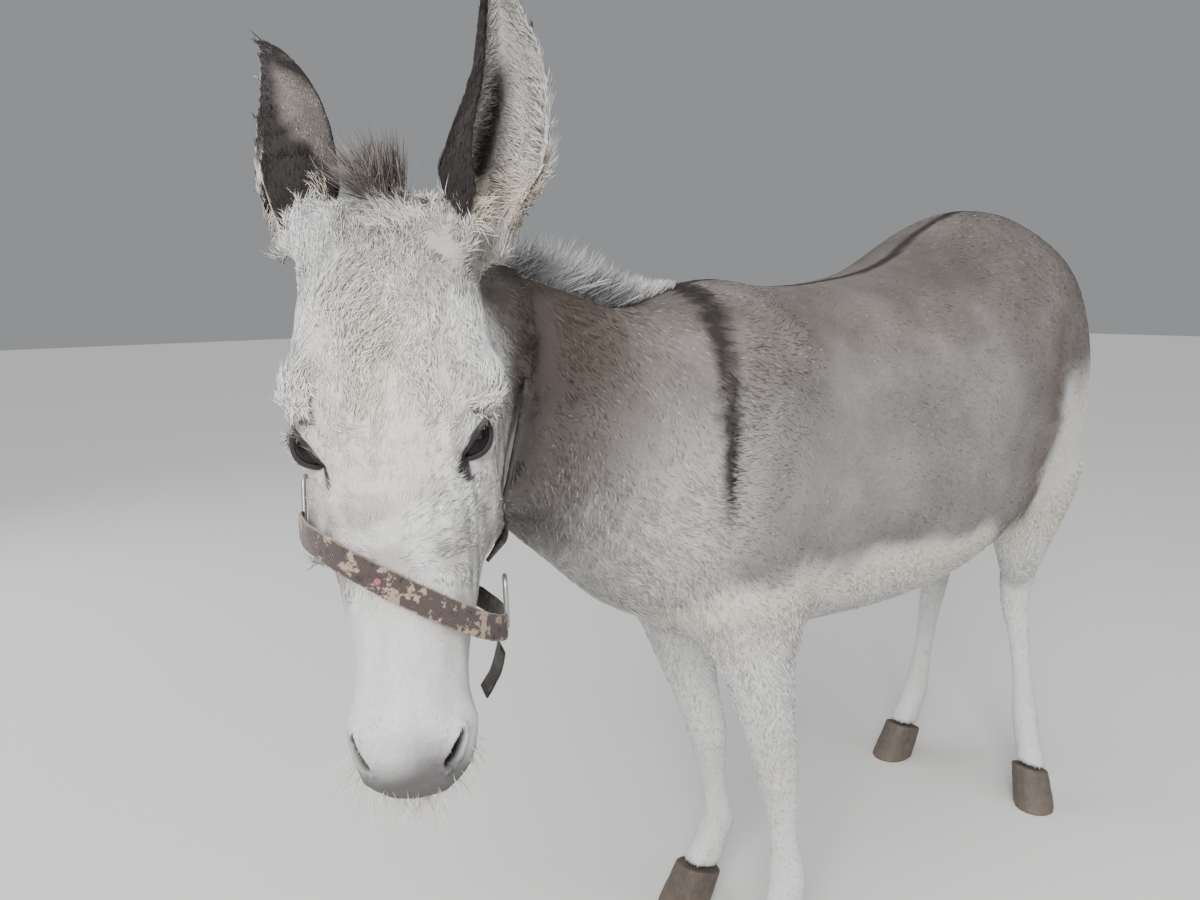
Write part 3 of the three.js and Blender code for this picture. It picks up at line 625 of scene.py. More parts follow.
def drawInEars(places, local):  # so that the foot of each ear meets the head without a lobe
    owner = ownerOf(places)
    for name in ears:
        mine = isNode(owner, name)
        share, across, _, side, _ = earPlace(name, places[mine])
        half = np.interp(local[mine, 2], *np.array(ears[name]["line"], float)[:, 2:].T) * head["scale"]
        amount = across * half * 0.30 * smooth(0.30, 0.10, share) * smooth(-0.1, 0.08, share)
        places[mine] -= side * amount[:, None]


def sculptHead(skin):
    eyes = [np.array(eye["centre"]) * (side, 1, 1) for side, _ in sides]
    pits = [nostril["at"][side] for side, _ in sides]
    for eyeBall, pitBall, mouthBall in ((42, 30, 46), (34, 24, 38), (28.5, 0, 0)):
        balls = [(at, eyeBall) for at in eyes]
        if pitBall:
            balls += [(at, pitBall) for at in pits] + [(mouth["centre"], mouthBall)]
        refine(skin, balls)
    editAll(skin, bpy.ops.mesh.quads_convert_to_tris)
    mesh = skin.data
    places = pointsOf(mesh)
    ways = normalsOf(mesh) @ headAxes
    drawInEars(places, toHead(places))
    local = toHead(places)
    onHead = (local[:, 2] < 40) & (distance(places, headPoll) < 0.56) & (local[:, 1] < 60)
    places[onHead] = fromHead(shapeMuzzle(shapeLids(local[onHead]), ways[onHead]))
    movePoints(mesh, places)
    bpy.ops.object.shade_smooth()


sculptHead(skin)
print("head sculpted:", len(skin.data.polygons), "faces")


# markings, with painted shade and painted light among them, shared by the skin and the coat
stripe = {  # down each shoulder: height, place along the body and half width
    "z": [0.705, 0.745, 0.785, 0.844, 0.901, 0.947, 0.994, 1.040],
    "y": [-0.311, -0.312, -0.313, -0.312, -0.301, -0.288, -0.268, -0.246],
    "half": [0.001, 0.0035, 0.0055, 0.008, 0.0105, 0.013, 0.017, 0.019],
}
haunchLine = {"z": [0.45, 0.56, 0.62, 0.70, 0.76, 0.86, 0.94, 1.02],
              "y": [0.42, 0.44, 0.42, 0.428, 0.437, 0.452, 0.478, 0.570]}
bellyLine = {"y": [-0.46, -0.30, -0.20, 0.00, 0.15, 0.26, 0.36],
             "z": [0.61, 0.627, 0.641, 0.633, 0.635, 0.640, 0.59]}
bodyShades = {  # strength of each marking, and of the painted shade on the neck, back and rump and the painted light on the flank
    "stripes": 0.97, "neckTopShade": 0.34, "back": 0.26, "rump": 0.30, "haunch": 0.9, "chest": 0.64,
    "shoulder": 0.50, "litFlank": 0.12, "stain": 0.75, "patchy": 0.45, "knee": 0.5, "dirt": 0.2,
}
headShades = {
    "throat": 0.85, "cheek": 0.62, "crown": 0.42, "nape": 0.7, "foot": 0.85, "noseShadowSide": 0.20, "puff": 0.30,
    "fan": 0.44, "faceSide": 0.50, "creamBrow": 0.55, "creamCheek": 0.3, "creamFoot": 0.45, "warm": 0.22,
    "lips": 0.84, "chin": 0.26,
}
earShades = {"strength": 1.12, "lining": 0.85, "liningTopShade": 0.35, "cream": 0.15, "creamFoot": 0.6,
             "outerCream": 0.55, "outerPale": 0.85}


def most(*values):
    return np.maximum.reduce(values)


def earMarks(name, points, ways):  # dark, pale and cream
    share, across, _, _, opening = earPlace(name, points)
    turned = (ways * opening).sum(1)
    inner = smooth(0.05, 0.35, turned) * (share > 0.08)
    rough = ripple(points, 120, 5) * 0.02
    t, a = share + rough, across + rough
    lateral = smooth(0.1, 0.3, across) if name == "ear_left" else 0.0
    medial = np.maximum(smooth(0.50, 0.90, a), smooth(-0.26, -0.62, a))
    kept = smooth(0.10, -0.35, turned) * smooth(0.30, 0.42, t)
    edge = medial * smooth(0.14, 0.22, t) * (1 - lateral * (1 - kept))
    tip = smooth(0.68, 0.90, t + rough)
    top = 0.37 + 0.12 * np.abs(across)
    band = smooth(0.06, 0.12, t) * smooth(top + 0.11, top - 0.09, t + rough) * (1 - lateral)
    outerDark = np.clip(tip + edge + band, 0, 1)
    # painted shade: a dark band down the hollow inside the ear
    hollowShade = bump(across - 0.08, 0.30) * smooth(0.26, 0.36, t) * smooth(0.74, 0.58, t)
    lip = smooth(-0.34, -0.48, a) * smooth(0.04, 0.12, t)
    innerDark = np.clip(hollowShade + lip + smooth(0.93, 0.98, t), 0, 1)
    dark = np.clip((outerDark * (1 - inner) + innerDark * inner) * earShades["strength"], 0, 1)
    # painted shade: the lining greyer high up inside the ear, where the ear's hollow lies in shade
    lining = earShades["lining"] - earShades["liningTopShade"] * smooth(0.45, 0.75, t)
    pale = smooth(0.14, 0.06, t) * (1 - inner) + inner * lining
    cream = inner * (earShades["cream"] + earShades["creamFoot"] * smooth(0.45, 0.2, t))
    if name == "ear_left":
        outer = earShades["outerCream"] * smooth(0.34, 0.18, t) * smooth(-0.2, 0.2, across)
        cream = np.maximum(cream, outer)
        pale = np.maximum(pale, lateral * earShades["outerPale"] * smooth(0.42, 0.30, t))
    return dark, pale, cream


def bodyMarks(points, owner):  # dark, pale, warm and cream
    x, y, z = points[:, 0] - midX, points[:, 1], points[:, 2]
    wobble = ripple(points, 26, 3) * 0.010 + ripple(points, 90, 4) * 0.005
    high = z + wobble
    half = np.interp(z, stripe["z"], stripe["half"])
    across = np.abs(y + wobble * 0.16 - np.interp(z, stripe["z"], stripe["y"]))
    shoulder = smooth(half + 0.006, half - 0.003, across) * smooth(0.705, 0.775, high)
    ridge = np.abs(x - 0.004 + wobble * 0.3)
    dorsal = smooth(0.016, 0.006, ridge) * smooth(-0.30, -0.24, y) * smooth(0.85, 0.93, z)
    nearHead = smooth(-0.36, -0.54, y)
    # painted shade: the top of the neck behind the head, darkened as if in shadow
    neckTopShade = nearHead * smooth(0.76, 0.88, z + wobble * 2)
    # painted shade: the top of the back and the rump darkened as the light falls off over them, in part also
    # a donkey's darker back hair
    back = smooth(0.92, 1.04, high) * smooth(-0.40, -0.30, y)
    rump = smooth(0.22, 0.44, y) * smooth(0.66, 0.78, high)
    cloud = 1 + 0.35 * ripple(points, 16, 14)
    shade = most(bodyShades["neckTopShade"] * neckTopShade, bodyShades["back"] * back, bodyShades["rump"] * rump)
    shade = shade * cloud
    dark = np.maximum(np.maximum(shoulder, dorsal) * bodyShades["stripes"], shade)

    belly = smooth(0.024, -0.020, high - np.interp(y, bellyLine["y"], bellyLine["z"]))
    foreLeg = smooth(0.665, 0.585, high) * smooth(0.1, -0.1, y)
    hind = smooth(0.61, 0.53, high)
    line = np.interp(z, haunchLine["z"], haunchLine["y"])
    haunch = smooth(0.010, 0.050, y - line + wobble) * smooth(0.91, 0.79, high) * smooth(0.2, 0.3, y)
    pale = most(belly, foreLeg, bodyShades["haunch"] * haunch, hind)
    dark = np.where(dark > 0.6, dark, dark * (1 - pale))
    chest = smooth(0.86, 0.70, z + wobble * 2 + 0.06 * nearHead) * smooth(-0.26, -0.36, y)
    chest = bodyShades["chest"] * chest
    shoulderPale = bodyShades["shoulder"] * bump(np.hypot((y + 0.36) / 0.10, (z - 0.75) / 0.10), 1)
    # painted light: the middle of the flank made paler, where the light falls most
    litFlank = bodyShades["litFlank"] * smooth(0.95, 0.84, high) * smooth(-0.36, -0.20, y) * smooth(0.44, 0.26, y)
    pale = np.clip(most(pale, chest, shoulderPale, litFlank * cloud), 0, 1)

    stain = bump(y - line - 0.006 + wobble, 0.018) * smooth(0.56, 0.66, z) * smooth(1.0, 0.9, z)
    patchy = 0.35 + smooth(0.1, 1.1, ripple(points, 13, 9) + 0.4)
    patchy = patchy * smooth(-0.30, -0.46, y) * smooth(0.76, 0.88, z)
    knee = bump(np.hypot((z - 0.36) / 0.07, (y + 0.17) / 0.06), 1) * isNode(owner, "leg_fore_left")
    dirt = smooth(0.22, 0.06, high) * smooth(-0.3, 0.9, ripple(points, 45, 31))
    warm = (stain * bodyShades["stain"] + patchy * bodyShades["patchy"] + knee * bodyShades["knee"]
            + dirt * bodyShades["dirt"])
    return dark, pale, warm, (belly * 0.5 + haunch * 0.3) * smooth(0.50, 0.62, z)


def headMarks(points):  # pale, warm, cream and bare skin
    local, shades = toHead(points), headShades
    x, y, z = local.T
    streak = smooth(-0.6, 0.8, ripple(points * (1, 1, 0.35), 210, 41))
    throat = smooth(28, 75, y) * smooth(-235, -175, z)
    cheek = smooth(-85, -20, y) * smooth(-345, -310, z) * smooth(-60, -150, z)
    crown = smooth(-110, -40, z) * smooth(-0.5, 0.9, ripple(points, 34, 42))
    nape = smooth(-20, 50, z) * smooth(10, 60, y)
    pale = (1 - shades["throat"] * throat) * (1 - shades["cheek"] * cheek * streak)
    pale = pale * (1 - shades["crown"] * crown) * (1 - shades["nape"] * nape)
    foot = bump(distance(local, (88, 22, -14)), 34)  # of the left ear
    pale = np.maximum(pale, shades["foot"] * smooth(0.3, 0.7, foot))
    # painted shade: the left side of the nose darkened in streaks, as if turned away from the light
    noseShadowSide = smooth(6, 34, x) * smooth(-312, -335, z) * smooth(-425, -395, z)
    streaks = smooth(-0.9, 0.6, ripple(points * (1, 1, 0.3), 200, 47))
    pale = pale * (1 - shades["noseShadowSide"] * noseShadowSide * streaks)
    puff = np.maximum(bump(distance(local, (58, -36, -28)), 30), bump(distance(local, (-62, -30, -20)), 28))
    pale = pale * (1 - shades["puff"] * puff * smooth(-0.6, 0.6, ripple(points, 120, 48)))
    fan = bump((z + 262) / 45, 1) * smooth(-0.5, 0.6, ripple(points, 150, 44))
    faceSide = smooth(22, 58, np.abs(x)) * smooth(-205, -250, z) * smooth(-345, -315, z)
    faceSide = faceSide * smooth(-0.7, 0.5, ripple(points * (1, 1, 0.4), 260, 46))
    pale = pale * (1 - shades["fan"] * fan) * (1 - shades["faceSide"] * faceSide)
    brow = bump(np.hypot((x + 4) / 42, (z + 135) / 85), 1) * smooth(-20, -60, y)
    cheekGlow = bump(np.hypot((y - 10) / 55, (z + 235) / 70), 1)
    cream = shades["creamBrow"] * brow + shades["creamCheek"] * cheekGlow + shades["creamFoot"] * foot
    warm = shades["warm"] * smooth(0.2, 1.2, ripple(points, 40, 12)) * smooth(-110, -40, z)
    lips = smooth(-412, -456, z + 6 * ripple(points, 70, 8))
    bare = shades["lips"] * lips + shades["chin"] * bump(np.hypot((x - 4) / 17, (z + 432) / 18), 1)
    for side, _ in sides:
        outside, depth, _ = nostrilPlace(local, side)
        bare = np.where(np.abs(depth) < 26, np.maximum(bare, smooth(2.0, -1.0, outside)), bare)
        outside, u, v, reach = lidPlace(local, side)
        rimWidth = np.where(v > 0, 6.4, 5.2)
        tear = bump(np.hypot((u + 31) / 12, (v + 1.0) / 4.0), 1)
        rim = np.maximum(smooth(rimWidth, rimWidth - 2.8, outside), tear)
        bare = np.where((reach < 46) & (outside < 30), np.maximum(bare, rim), bare)
    return pale, warm, cream, bare


def napeShare(points):  # 1 where the head runs into the neck
    near = np.array([nearNeck.find_nearest(p)[3] for p in points.tolist()])
    _, y, z = toHead(points).T
    behind = smooth(34, 62, y) * smooth(-190, -130, z) * smooth(-30, -62, z)
    return np.maximum(smooth(0.036, 0.010, near), behind)


def markingsAt(points, owner, ways):  # dark, pale and warm, then cream and bare skin
    one = np.ones(len(points))
    dark, pale, warm, cream = bodyMarks(points, owner)
    bare = 0 * one
    mine = isNode(owner, "head")
    if mine.any():
        nape = napeShare(points[mine])
        ofHead = headMarks(points[mine])
        for value, own in zip((dark, pale, warm, cream), (0, *ofHead)):
            value[mine] = value[mine] * nape + own * (1 - nape)
        bare[mine] = ofHead[3]
    for name in ears:
        mine = isNode(owner, name)
        if mine.any():
            dark[mine], pale[mine], cream[mine] = earMarks(name, points[mine], ways[mine])
            warm[mine] = 0.1
    mine = isNode(owner, "tail")
    dark[mine] = 0.2 + 0.7 * smooth(0.78, 0.62, points[mine, 2])
    pale[mine] = 0
    first, second = np.stack([dark, pale, warm, one], 1), np.stack([cream, bare, 0 * one, one], 1)
    return np.clip(first, 0, 1), np.clip(second, 0, 1)


# lie of the coat
lieTurns = {"broad": 0.30, "fine": 0.18, "brow": 0.55}  # radians, how far it strays in waves


def blendOf(first, second, share):
    return first * (1 - share) + second * share


def faceLay(local):
    one, side = np.ones(len(local)), np.sign(local[:, 0])
    fan = unit(local - np.array((1, -72, -287)))  # from a whorl between the eyes
    fan[:, 1] = np.clip(fan[:, 1], -0.2, 0.9)
    down = np.stack([0.06 * side, 0 * one, -one], 1)
    cheek = np.stack([0.1 * side, 0.85 * one, -0.45 * one], 1)
    low = smooth(-284, -300, local[:, 2])[:, None]
    back = (smooth(-35, 30, local[:, 1]) * smooth(-20, -90, local[:, 2]))[:, None]
    return blendOf(blendOf(fan, down, low), cheek, back)


def layAt(points, owner, ways):
    x, y, z = points[:, 0] - midX, points[:, 1], points[:, 2]
    side, one = np.sign(x), np.ones(len(x))
    trunk = np.stack([0.10 * side, one, -0.22 - 0.5 * smooth(0.95, 0.6, z)], 1)
    rump = np.stack([0.1 * side, 0.35 * one, -one], 1)
    neck = np.stack([-0.15 * one + 0.1 * side, 0.75 * one, -0.75 * one], 1)
    chest = np.stack([0.35 * side, 0.25 * one, -one], 1)
    down = np.stack([0 * one, 0.22 * one, -one], 1)
    way = blendOf(trunk, rump, (smooth(0.36, 0.52, y) * smooth(1.12, 0.98, z))[:, None])
    neck = blendOf(neck, chest, smooth(0.82, 0.66, z)[:, None] * smooth(-0.2, -0.3, y)[:, None])
    way = blendOf(way, neck, smooth(-0.26, -0.36, y)[:, None])
    way = np.where(isNode(owner, *legs, "tail")[:, None], down, way)
    onFace = isNode(owner, "head")
    if onFace.any():
        nape = napeShare(points[onFace])[:, None]
        way[onFace] = blendOf(headWay(faceLay(toHead(points[onFace]))), unit(way[onFace]), nape)
    for name in ears:
        mine = isNode(owner, name)
        if mine.any():
            _, across, along, sideways, _ = earPlace(name, points[mine])
            way[mine] = along + sideways * (across * 0.3)[:, None]
    way = unit(onSurface(way, ways))
    turn = lieTurns["broad"] * ripple(points, 22, 21) + lieTurns["fine"] * ripple(points, 75, 22)
    brow = onFace * smooth(-210, -140, toHead(points)[:, 2])
    turn = turn + brow * lieTurns["brow"] * ripple(points, 52, 23)
    return way * np.cos(turn)[:, None] + np.cross(ways, way) * np.sin(turn)[:, None]


def readSkin():  # what the coat grows from
    mesh = skin.data
    tris = readAll(mesh.loops, "vertex_index", int, 1).reshape(-1, 3)
    points, ways = pointsOf(mesh), normalsOf(mesh)
    a, b, c = points[tris[:, 0]], points[tris[:, 1]], points[tris[:, 2]]
    area = np.linalg.norm(np.cross(b - a, c - a), axis=1) / 2
    owner = ownerOf(points)
    for name in ears:  # the foot of an ear has the head's coat
        mine = np.nonzero(isNode(owner, name))[0]
        owner[mine[earPlace(name, points[mine])[0] < 0.075]] = flesh.index("head")
    return {"points": points, "ways": ways, "tris": tris, "area": area, "middle": (a + b + c) / 3,
            "owner": owner, "triOwner": owner[tris[:, 0]], "triWay": unit(np.cross(b - a, c - a))}


def paintSkin():
    place = skinData["points"], skinData["owner"], skinData["ways"]
    marks, tints = markingsAt(*place)
    lie = layAt(*place)
    storeColour(skin.data, "markings", marks)
    storeColour(skin.data, "tints", tints)
    storeColour(skin.data, "tuft", np.full((len(lie), 4), 0.5))
    storeVector(skin.data, "lieAlong", lie)
    storeVector(skin.data, "lieAcross", np.cross(skinData["ways"], lie))


skinData = readSkin()
paintSkin()
print("markings laid on the skin")

# coat materials
palette = {
    "greyDeep": (0.060, 0.052, 0.047), "greyPale": (0.212, 0.191, 0.178),
    "white": (0.760, 0.757, 0.752), "whiteDeep": (0.285, 0.277, 0.271),
    "cream": (0.620, 0.530, 0.420), "warm": (0.115, 0.082, 0.064),
    "dark": (0.012, 0.010, 0.010), "darkWorn": (0.046, 0.037, 0.034), "bare": (0.030, 0.026, 0.027),
}
coatNoise = {
    "mottle": 11, "speckle": 260,  # scales
    "greyMottle": 1.25, "greyStart": -0.56, "greyTuft": 0.24, "greySpeckle": 0.65, "greyAlong": 0.14,
    "whiteClump": 0.40, "whiteStart": 0.12, "whiteAlong": 0.25, "whiteSpeckle": 0.45,
    "guardHairs": 0.40, "ragged": 0.26, "warmOver": 0.3, "worn": 0.45,
}
strands = {"across": 620.0, "along": 75.0, "dark": 0.55, "light": 1.30, "relief": 0.55, "depth": 0.0016}


def makeCoatPaint():  # the coat's colours, from the markings, broken up by noise and tuft by tuft
    group, _, out = startGroup("coatPaint", {}, {"Color": "Color"})
    by = coatNoise
    where = objectPlace(group)
    dark, pale, warm = split(group, attributeAt(group, "markings"))
    cream, bare, _ = split(group, attributeAt(group, "tints"))
    along, chance, clump = split(group, attributeAt(group, "tuft"))
    mottle = noiseAt(group, where, by["mottle"], 4, 0.6)
    speckle = noiseAt(group, where, by["speckle"], 2, 0.6)

    level = scaled(group, mottle, by["greyMottle"], by["greyStart"])
    level = scaled(group, chance, by["greyTuft"], level)
    level = scaled(group, speckle, by["greySpeckle"], level)
    level = scaled(group, along, by["greyAlong"], level, clamp=True)
    grey = mixColour(group, level, palette["greyDeep"], palette["greyPale"])
    guard = scaled(group, chance, 6.0, -5.0, clamp=True)  # the palest sixth of the hairs
    grey = mixColour(group, times(group, guard, by["guardHairs"]), grey, palette["white"])
    warmShare = sumOf(group, "MULTIPLY", warm, sumOf(group, "ADD", speckle, 0.35), clamp=True)
    grey = mixColour(group, warmShare, grey, palette["warm"])

    level = scaled(group, clump, by["whiteClump"], by["whiteStart"])
    level = scaled(group, along, by["whiteAlong"], level)
    level = scaled(group, speckle, by["whiteSpeckle"], level, clamp=True)
    white = mixColour(group, level, palette["whiteDeep"], palette["white"])
    white = mixColour(group, cream, white, palette["cream"])

    ragged = times(group, sumOf(group, "SUBTRACT", chance, 0.5), pale)
    ragged = scaled(group, ragged, by["ragged"], pale, clamp=True)
    coat = mixColour(group, ragged, grey, white)
    coat = mixColour(group, times(group, warm, by["warmOver"]), coat, palette["warm"])
    deep = mixColour(group, times(group, chance, by["worn"]), palette["dark"], palette["darkWorn"])
    coat = mixColour(group, dark, coat, deep)
    plug(group, mixColour(group, bare, coat, palette["bare"]), out, "Color")
    return group


def makeSkinMaterial():
    paint, tree, shader = newMaterial("skinCoat", 0.72, 0.25)
    coat = put(tree, "ShaderNodeGroup", node_tree=coatPaint)
    where = objectPlace(tree)
    stretched = put(tree, "ShaderNodeCombineXYZ")
    for socket, (name, fine) in enumerate((("lieAcross", strands["across"]), ("lieAlong", strands["along"]))):
        dot = vectorOf(tree, "DOT_PRODUCT", where, attributeAt(tree, name, "Vector"))
        plug(tree, times(tree, dot["Value"], fine), stretched, socket)
    hairs = noiseAt(tree, stretched.outputs[0], 1.0, 3, 0.6)
    shade = put(tree, "ShaderNodeMapRange")
    plug(tree, hairs, shade, 0)
    plug(tree, strands["dark"], shade, 3)
    plug(tree, strands["light"], shade, 4)
    shaded = mixColour(tree, 1.0, coat.outputs["Color"], shade.outputs[0], "MULTIPLY")
    plug(tree, shaded, shader, "Base Color")
    reliefOn(tree, shader, hairs, strands["relief"], strands["depth"])
    return paint


def makeTuftMaterial():
    paint, tree, shader = newMaterial("coatTufts", 0.72, 0.16)
    plug(tree, put(tree, "ShaderNodeGroup", node_tree=coatPaint).outputs["Color"], shader, "Base Color")
    return paint


coatPaint = makeCoatPaint()
skinMaterial = makeSkinMaterial()
coatMaterial = makeTuftMaterial()

# webbing of the headcollar
noseband = {  # in the head's frame: an oval round the nose, tilted across it
    "centre": (2, -14, -303), "half": 81, "front": 92, "back": 88, "tilt": 31, "power": 2.4,
    "from": -176, "to": -12, "jawFrom": 10, "jawTo": 158,
}
strap = {"width": 0.022, "thick": 0.0028, "round": 0.0011, "step": 0.0016, "thread": 0.0017, "row": 0.0022}
webbings = {
    "printedWebbing": {"Ground": (0.062, 0.046, 0.043), "Pale": (0.36, 0.27, 0.21),
                       "Deep": (0.028, 0.021, 0.020), "Blotches": 0.8,
                       "spot": (0.131, 0.0015, 0.0028), "spotColour": (0.40, 0.10, 0.12)},
    "plainWebbing": {"Ground": (0.030, 0.026, 0.024), "Pale": (0.11, 0.09, 0.075),
                     "Deep": (0.016, 0.014, 0.013), "Blotches": 0.5},
}
lyingStraps = {  # points in the head's frame, width, thickness, seed and node
    "cheek_webbing_left": (
        [(88, -6, -304), (99, 24, -251), (102, 50, -198), (97, 72, -145), (92, 88, -92)],
        0.013, 0.0024, 64, "strap_cheek_left"),
    "cheek_webbing_right": (
        [(-80, -6, -200), (-91, 24, -173), (-94, 50, -146), (-89, 72, -119), (-84, 88, -92)],
        0.013, 0.0024, 62, "strap_cheek_right"),
    "crown_webbing": (
        [(89, 92, -76), (84, 98, -30), (44, 92, 12), (0, 84, 24), (-46, 100, 6), (-80, 112, -36),
         (-88, 104, -80)],
        0.019, 0.0026, 66, "strap_crown"),
}
strapEnd = {"line": [(78, 8, -378), (76, 12, -386), (72, 19, -399), (66, 23, -411), (60, 26, -420)],
            "out": (0.9, 0.1, 0.35), "width": 0.019, "thick": 0.0026}
strapLines = []


def nosebandAt(degrees):  # place and outward way, round the nose
    angle, power = math.radians(degrees), noseband["power"]
    c, s = math.cos(angle), math.sin(angle)
    depth = noseband["front"] if s < 0 else noseband["back"]
    reach = (abs(c) ** power + abs(s) ** power) ** (-1 / power)
    x, y = noseband["half"] * reach * c, depth * reach * s
    drop = math.tan(math.radians(noseband["tilt"]))
    cx, cy, cz = noseband["centre"]
    out = unit(headWay((x / noseband["half"] ** 2, y / depth ** 2, 0)))
    return fromHead((cx + x, cy + y, cz - drop * x)), out


def resample(points, extras, step):  # even steps along a line
    points, extras = np.array(points), np.array(extras)
    reach = np.concatenate([[0], np.cumsum(np.linalg.norm(np.diff(points, axis=0), axis=1))])
    count = max(int(reach[-1] / step), 8)
    at = np.linspace(0, reach[-1], count + 1)

    def stepped(values):
        return np.stack([np.interp(at, reach, values[:, k]) for k in range(3)], 1)

    return stepped(points), unit(stepped(extras)), at


def curveThrough(points, count=80):  # a smooth line through the given points
    p = np.array(points, float)
    p = np.vstack([2 * p[0] - p[1], p, 2 * p[-1] - p[-2]])
    found = []
    for t in np.linspace(0, len(p) - 3 - 1e-9, count):
        k, f = int(t), t - int(t)
        a, b, c, d = p[k:k + 4]
        found.append(0.5 * (2 * b + (c - a) * f + (2 * a - 5 * b + 4 * c - d) * f * f
                            + (3 * b - a - 3 * c + d) * f ** 3))
    return np.array(found)


def strapProfile(width, thick, corner):  # around the strap's section: across, out
    rows = []
    for sx, sy, start in ((1, 0, -90), (1, 1, 0), (-1, 1, 90), (-1, 0, 180)):
        cx, cy = sx * (width / 2 - corner), corner if sy == 0 else thick - corner
        for a in (0, 45, 90):
            angle = math.radians(start + a)
            rows.append((cx + corner * math.cos(angle), cy + corner * math.sin(angle)))
        if (sx, sy) == (1, 1):
            rows += [(u * width, thick + 0.0002 * (1 - (2 * u) ** 2)) for u in (0.32, 0.16, 0, -0.16, -0.32)]
    return np.array(rows)


def makeStrap(name, points, outs, width, thick, paint, seed, replaced):
    centre, out, reach = resample(points, outs, strap["step"])
    along = unit(np.gradient(centre, axis=0))
    out = unit(onSurface(out, along))
    side = np.cross(along, out)
    profile = strapProfile(width, thick, strap["round"])
    count, around = len(centre), len(profile)
    fray = 1 + 0.018 * ripple(centre, 700, seed) + 0.010 * ripple(centre, 2300, seed + 1)
    lift = 0.0004 * ripple(centre, 90, seed + 2)
    verts = (centre[:, None] + side[:, None] * (profile[None, :, :1] * fray[:, None, None])
             + out[:, None] * (profile[None, :, 1:] + lift[:, None, None])).reshape(-1, 3)
    faces = []
    for r in range(count - 1):
        for k in range(around):
            a, b = r * around + k, r * around + (k + 1) % around
            faces.append((a, a + around, b + around, b))
    faces += [tuple(range(around)), tuple((count - 1) * around + k for k in reversed(range(around)))]
    mesh = bpy.data.meshes.new(name)
    mesh.from_pydata(verts.tolist(), [], faces)
    mesh.update()
    piece = addObject(name, mesh)
    editAll(piece, bpy.ops.mesh.normals_make_consistent, inside=False)
    bpy.ops.object.shade_smooth()
    storeVector(mesh, "strapPlace", np.stack([np.repeat(reach, around), np.tile(profile[:, 0], count),
                                              np.tile(profile[:, 1], count)], 1))
    strapLines.append(centre)
    finishPiece(piece, paint, "webbing", replaced)


def makeWeave():  # woven tape with soft blotches, paler where its edges are worn
    kinds = {"Ground": "Color", "Pale": "Color", "Deep": "Color", "Blotches": "Float"}
    results = {"Color": "Color", "Worn Edge": "Float", "Height": "Float"}
    group, given, out = startGroup("weave", kinds, results)
    place = attributeAt(group, "strapPlace", "Vector")
    along, across, _ = split(group, place, "XYZ")
    ribs = sumOf(group, "SINE", times(group, along, 6.2832 / strap["thread"]))
    rows = sumOf(group, "SINE", times(group, across, 6.2832 / strap["row"]))
    fuzz = noiseAt(group, objectPlace(group), 900, 3, 0.7)
    weave = scaled(group, fuzz, 1.6, scaled(group, rows, 0.35, ribs))
    large, small = noiseAt(group, place, 82, 3, 0.62), noiseAt(group, place, 210, 2, 0.5)
    shape = scaled(group, small, 0.5, large)
    light = scaled(group, shape, 15, -11.9, clamp=True)
    dusk = scaled(group, shape, -14, 8.9, clamp=True)
    tape = mixColour(group, times(group, light, given["Blotches"]), given["Ground"], given["Pale"])
    tape = mixColour(group, times(group, dusk, given["Blotches"]), tape, given["Deep"])
    edge = scaled(group, sumOf(group, "ABSOLUTE", across), 900, -8.6, clamp=True)
    plug(group, tape, out, "Color")
    plug(group, times(group, edge, 0.4), out, "Worn Edge")
    plug(group, weave, out, "Height")
    return group


def makeWebbing(name, settings, weave):
    paint, tree, shader = newMaterial(name, 0.86, 0.2)
    woven = put(tree, "ShaderNodeGroup", node_tree=weave)
    for key in ("Ground", "Pale", "Deep"):
        plug(tree, (*settings[key], 1), woven, key)
    plug(tree, settings["Blotches"], woven, "Blotches")
    tape = woven.outputs["Color"]
    if "spot" in settings:
        away = vectorOf(tree, "DISTANCE", attributeAt(tree, "strapPlace", "Vector"), settings["spot"])
        inside = scaled(tree, away["Value"], -1100, 3.4, clamp=True)
        tape = mixColour(tree, times(tree, inside, 0.8), tape, settings["spotColour"])
    tape = mixColour(tree, woven.outputs["Worn Edge"], tape, settings["Pale"])
    shade = scaled(tree, woven.outputs["Height"], 0.13, 0.86)
    plug(tree, mixColour(tree, 1.0, tape, shade, "MULTIPLY"), shader, "Base Color")
    reliefOn(tree, shader, woven.outputs["Height"], 0.6, 0.0004)
    shader.inputs["Sheen Weight"].default_value = 0.15
    return paint


def eased(values, passes):  # smooths a line, its ends held
    for _ in range(passes):
        values[1:-1] = (values[:-2] + values[1:-1] * 2 + values[2:]) / 4
    return values


def lyingOn(points, lift=0.0012):  # a line laid on the flesh
    found = [nearFlesh.find_nearest(p) for p in fromHead(curveThrough(points)).tolist()]
    outs = unit(eased(np.array([f[1][:] for f in found]), 12))
    return eased(np.array([f[0][:] for f in found]), 6) + outs * lift, outs


def makeHeadcollar():
    weave = makeWeave()
    printed, plain = (makeWebbing(name, settings, weave) for name, settings in webbings.items())

    def arc(low, high):
        found = [nosebandAt(a) for a in np.linspace(low, high, 90)]
        return [f[0] for f in found], [f[1] for f in found]

    makeStrap("noseband_webbing", *arc(noseband["from"], noseband["to"]), strap["width"], strap["thick"],
              printed, 61, "noseband")
    makeStrap("jaw_webbing", *arc(noseband["jawFrom"], noseband["jawTo"]), strap["width"] * 0.9,
              strap["thick"], plain, 62, "strap_jaw")
    for name, (points, width, thick, seed, node) in lyingStraps.items():
        makeStrap(name, *lyingOn(points), width, thick, plain, seed, node)
    line = fromHead(curveThrough(strapEnd["line"]))
    outs = [unit(headWay(strapEnd["out"]))] * len(line)
    makeStrap("hanging_webbing", line, outs, strapEnd["width"], strapEnd["thick"], plain, 67, "strap_end")


